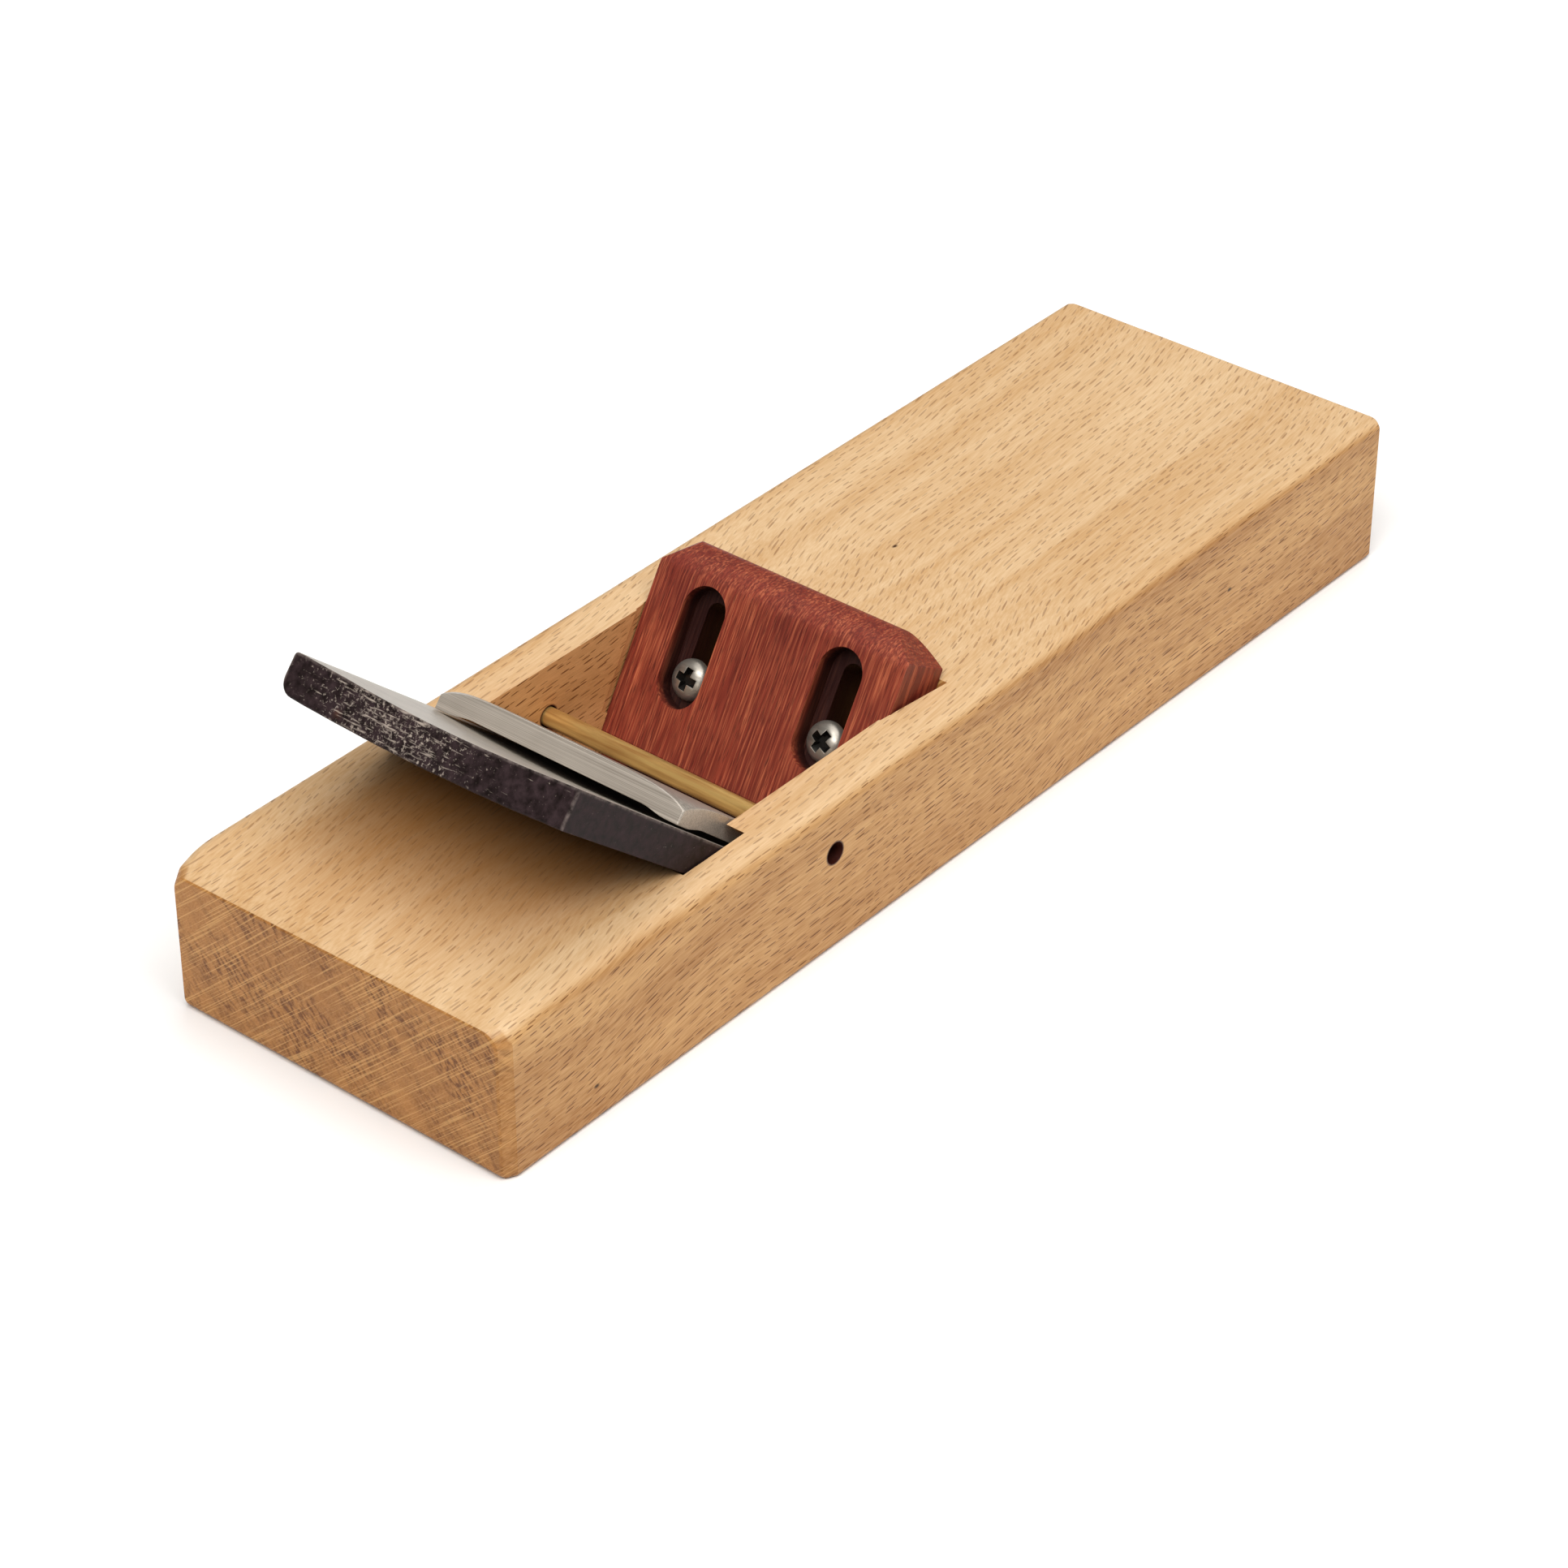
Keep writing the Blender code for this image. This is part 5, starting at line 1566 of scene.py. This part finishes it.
@dataclass(frozen=True)
class GroundSteel:
    """Steel ground on a wheel: light grey, with fine lines across its width."""

    light: str = "CBC1B4"
    dark: str = "A0968A"
    line: float = 0.16

    def build(self) -> bpy.types.Material:
        """Builds the ground steel."""
        made, tree, shader = new_material("ground_steel")
        place = add_node(tree, "ShaderNodeTexCoord").outputs["Object"]
        run = add_node(tree, "ShaderNodeVectorMath", {
            0: place, 1: (1.0 / mm(self.line), 18.0, 1.0 / mm(self.line)),
        }, operation="MULTIPLY")
        lines = add_node(tree, "ShaderNodeTexNoise", {"Vector": run.outputs[0], "Scale": 1.0, "Detail": 3.0})
        cloud = add_node(tree, "ShaderNodeTexNoise", {"Vector": place, "Scale": 90.0, "Detail": 2.0})
        mixed = add_node(tree, "ShaderNodeMath", {
            0: cloud.outputs[0], 1: 0.3, 2: lines.outputs[0],
        }, operation="MULTIPLY_ADD")
        tone = add_node(tree, "ShaderNodeMapRange", {"Value": mixed.outputs[0], "From Min": 0.5, "From Max": 0.85})
        colour = add_node(tree, "ShaderNodeMix", {
            0: tone.outputs[0], 6: linear(self.dark), 7: linear(self.light),
        }, data_type="RGBA")
        rough = add_node(tree, "ShaderNodeMapRange", {"Value": lines.outputs[0], "To Min": 0.3, "To Max": 0.5})
        bump = add_node(tree, "ShaderNodeBump", {
            "Strength": 0.25, "Distance": mm(0.02), "Height": lines.outputs[0],
        })
        tree.links.new(colour.outputs[2], shader.inputs["Base Color"])
        tree.links.new(rough.outputs[0], shader.inputs["Roughness"])
        tree.links.new(bump.outputs[0], shader.inputs["Normal"])
        shader.inputs["Metallic"].default_value = 0.45
        return made


@dataclass(frozen=True)
class StreakedMetal:
    """A bright metal with a duller tone drawn along Y in streaks: plating, nickel or brass."""

    name: str
    bright: str
    dull: str
    roughness: tuple[float, float]
    metallic: float = 0.8
    streak: tuple[float, float, float] = (900.0, 60.0, 900.0)
    # Painted shade in the screws' cross recess, where the mesh marks it.
    grime: str = "0C0908"

    def build(self) -> bpy.types.Material:
        """Builds the metal."""
        made, tree, shader = new_material(self.name)
        place = add_node(tree, "ShaderNodeTexCoord").outputs["Object"]
        run = add_node(tree, "ShaderNodeVectorMath", {0: place, 1: self.streak}, operation="MULTIPLY")
        field = add_node(tree, "ShaderNodeTexNoise", {"Vector": run.outputs[0], "Scale": 1.0, "Detail": 3.0})
        tone = add_node(tree, "ShaderNodeMapRange", {"Value": field.outputs[0], "From Min": 0.36, "From Max": 0.7})
        colour = add_node(tree, "ShaderNodeMix", {
            0: tone.outputs[0], 6: linear(self.bright), 7: linear(self.dull),
        }, data_type="RGBA")
        low, high = self.roughness
        rough = add_node(tree, "ShaderNodeMapRange", {"Value": tone.outputs[0], "To Min": low, "To Max": high})
        # Painted shade in the screws' cross recess, where the mesh marks it.
        grime = add_node(tree, "ShaderNodeAttribute", attribute_name="grime")
        shaded_in_recess = add_node(tree, "ShaderNodeMix", {
            0: grime.outputs["Fac"], 6: colour.outputs[2], 7: linear(self.grime),
        }, data_type="RGBA")
        tree.links.new(shaded_in_recess.outputs[2], shader.inputs["Base Color"])
        tree.links.new(rough.outputs[0], shader.inputs["Roughness"])
        shader.inputs["Metallic"].default_value = self.metallic
        return made


def build_materials(places: Places) -> dict[Coat, bpy.types.Material]:
    """Builds every finish of the plane."""
    return {
        Coat.BEECH: OiledBeech().build(),
        Coat.REDWOOD: RedHardwood(places.mouth).build(),
        Coat.FORGED: ForgedSteel().build(),
        Coat.GROUND: GroundSteel().build(),
        Coat.PIN: StreakedMetal("yellow_zinc_plating", "DBB26A", "9C6A34", (0.28, 0.45), 0.6).build(),
        Coat.NICKEL: StreakedMetal("nickel_plating", "B5AEA2", "8B847A", (0.3, 0.42), 0.75).build(),
        Coat.BRASS: StreakedMetal("turned_brass", "C9A050", "9A7432", (0.25, 0.4)).build(),
    }


# ---------------------------------------------------------------------------- the studio


@dataclass(frozen=True)
class Lamp:
    """A soft square lamp that looks at the plane. Distances are metres."""

    name: str
    place: tuple[float, float, float]
    size: float
    power: float
    tint: str = "FFFFFF"

    def build(self) -> None:
        """Hangs the lamp."""
        light = bpy.data.lights.new(self.name, "AREA")
        light.shape = "SQUARE"
        light.size = self.size
        light.energy = self.power
        light.color = linear(self.tint)[:3]
        hung = bpy.data.objects.new(self.name, light)
        hung.location = self.place
        hung.rotation_euler = (-Vector(self.place)).to_track_quat("-Z", "Y").to_euler()
        bpy.context.scene.collection.objects.link(hung)


@dataclass
class Studio:
    """The pale floor, the soft light and the camera. Distances are metres, angles degrees."""

    floor_size: float = 6.0
    floor_tone: str = "FBFAF8"
    sky: float = 0.1
    target: tuple[float, float, float] = (-0.0108, 0.0, 0.0005)
    azimuth: float = 309.63
    elevation: float = 34.61
    distance: float = 0.8981
    lens: float = 103.42

    def build(self) -> None:
        """Builds the whole studio."""
        self.floor()
        self.world()
        for lamp in (
            Lamp("key_lamp", (1.5, 0.5, 2.6), 2.2, 15.0),
            Lamp("top_lamp", (0.2, 0.0, 3.0), 2.4, 32.0),
            Lamp("head_lamp", (-1.6, -0.5, 2.4), 1.6, 52.0),
            Lamp("side_lamp", (0.0, -1.7, 2.4), 1.6, 33.0),
        ):
            lamp.build()
        self.camera()
        bpy.context.scene.view_settings.view_transform = "Standard"

    def floor(self) -> None:
        """Lays the pale floor just under the sole."""
        half = self.floor_size / 2
        mesh = bpy.data.meshes.new("pale_floor")
        drop = -mm(0.2)
        corners = [(-half, -half, drop), (half, -half, drop), (half, half, drop), (-half, half, drop)]
        mesh.from_pydata(corners, [], [(0, 1, 2, 3)])
        laid = make_object("pale_floor", mesh)
        made, _, shader = new_material("pale_paper")
        shader.inputs["Base Color"].default_value = linear(self.floor_tone)
        shader.inputs["Roughness"].default_value = 0.9
        laid.data.materials.append(made)

    def world(self) -> None:
        """Lights the room faintly from all round, with a wall that looks white."""
        world = bpy.data.worlds.new("studio")
        world.use_nodes = True
        back = world.node_tree.nodes["Background"]
        back.inputs["Color"].default_value = (1.0, 1.0, 1.0, 1.0)
        seen = add_node(world.node_tree, "ShaderNodeLightPath").outputs["Is Camera Ray"]
        strength = add_node(world.node_tree, "ShaderNodeMapRange", {"Value": seen, "To Min": self.sky, "To Max": 1.0})
        world.node_tree.links.new(strength.outputs[0], back.inputs["Strength"])
        bpy.context.scene.world = world

    def camera(self) -> None:
        """Places the camera on its azimuth and elevation, looking at the target."""
        turn, tilt = math.radians(self.azimuth), math.radians(self.elevation)
        back = Vector((math.sin(turn) * math.cos(tilt), -math.cos(turn) * math.cos(tilt), math.sin(tilt)))
        lens = bpy.data.cameras.new("camera")
        lens.lens = self.lens
        lens.sensor_width = 36.0
        lens.clip_start = 0.01
        eye = bpy.data.objects.new("camera", lens)
        eye.location = Vector(self.target) + back * self.distance
        eye.rotation_euler = (-back).to_track_quat("-Z", "Y").to_euler()
        bpy.context.scene.collection.objects.link(eye)
        bpy.context.scene.camera = eye


def clear_defaults() -> None:
    """Removes the cube, lamp and camera that a new file opens with."""
    for name in ("Cube", "Light", "Camera"):
        found = bpy.data.objects.get(name)
        if found is not None:
            bpy.data.objects.remove(found)


def main() -> None:
    """Builds the plane's looks and its studio, in order."""
    logging.basicConfig(level=logging.INFO, format="%(name)s: %(message)s")
    clear_defaults()
    places = read_places(mm(Mouthpiece.thickness))
    Studio().build()
    materials = build_materials(places)
    parts = (
        Block(places),
        Blade(places),
        ChipBreaker(places),
        Pin(),
        Mouthpiece(places),
        Screws(places),
    )
    for part in parts:
        made = part.build(materials)
        for piece in made if isinstance(made, list) else [made]:
            LOG.info("built %s with %d faces", piece.name, len(piece.data.polygons))
    for side in Side:
        insert = frame["nodes"][f"threaded_insert_{side.name.lower()}"]
        for slot in insert.material_slots:
            slot.link = "OBJECT"
            slot.material = materials[Coat.BRASS]
        LOG.info("coated %s in %d slots", insert.name, len(insert.material_slots))


if __name__ == "__main__":
    main()
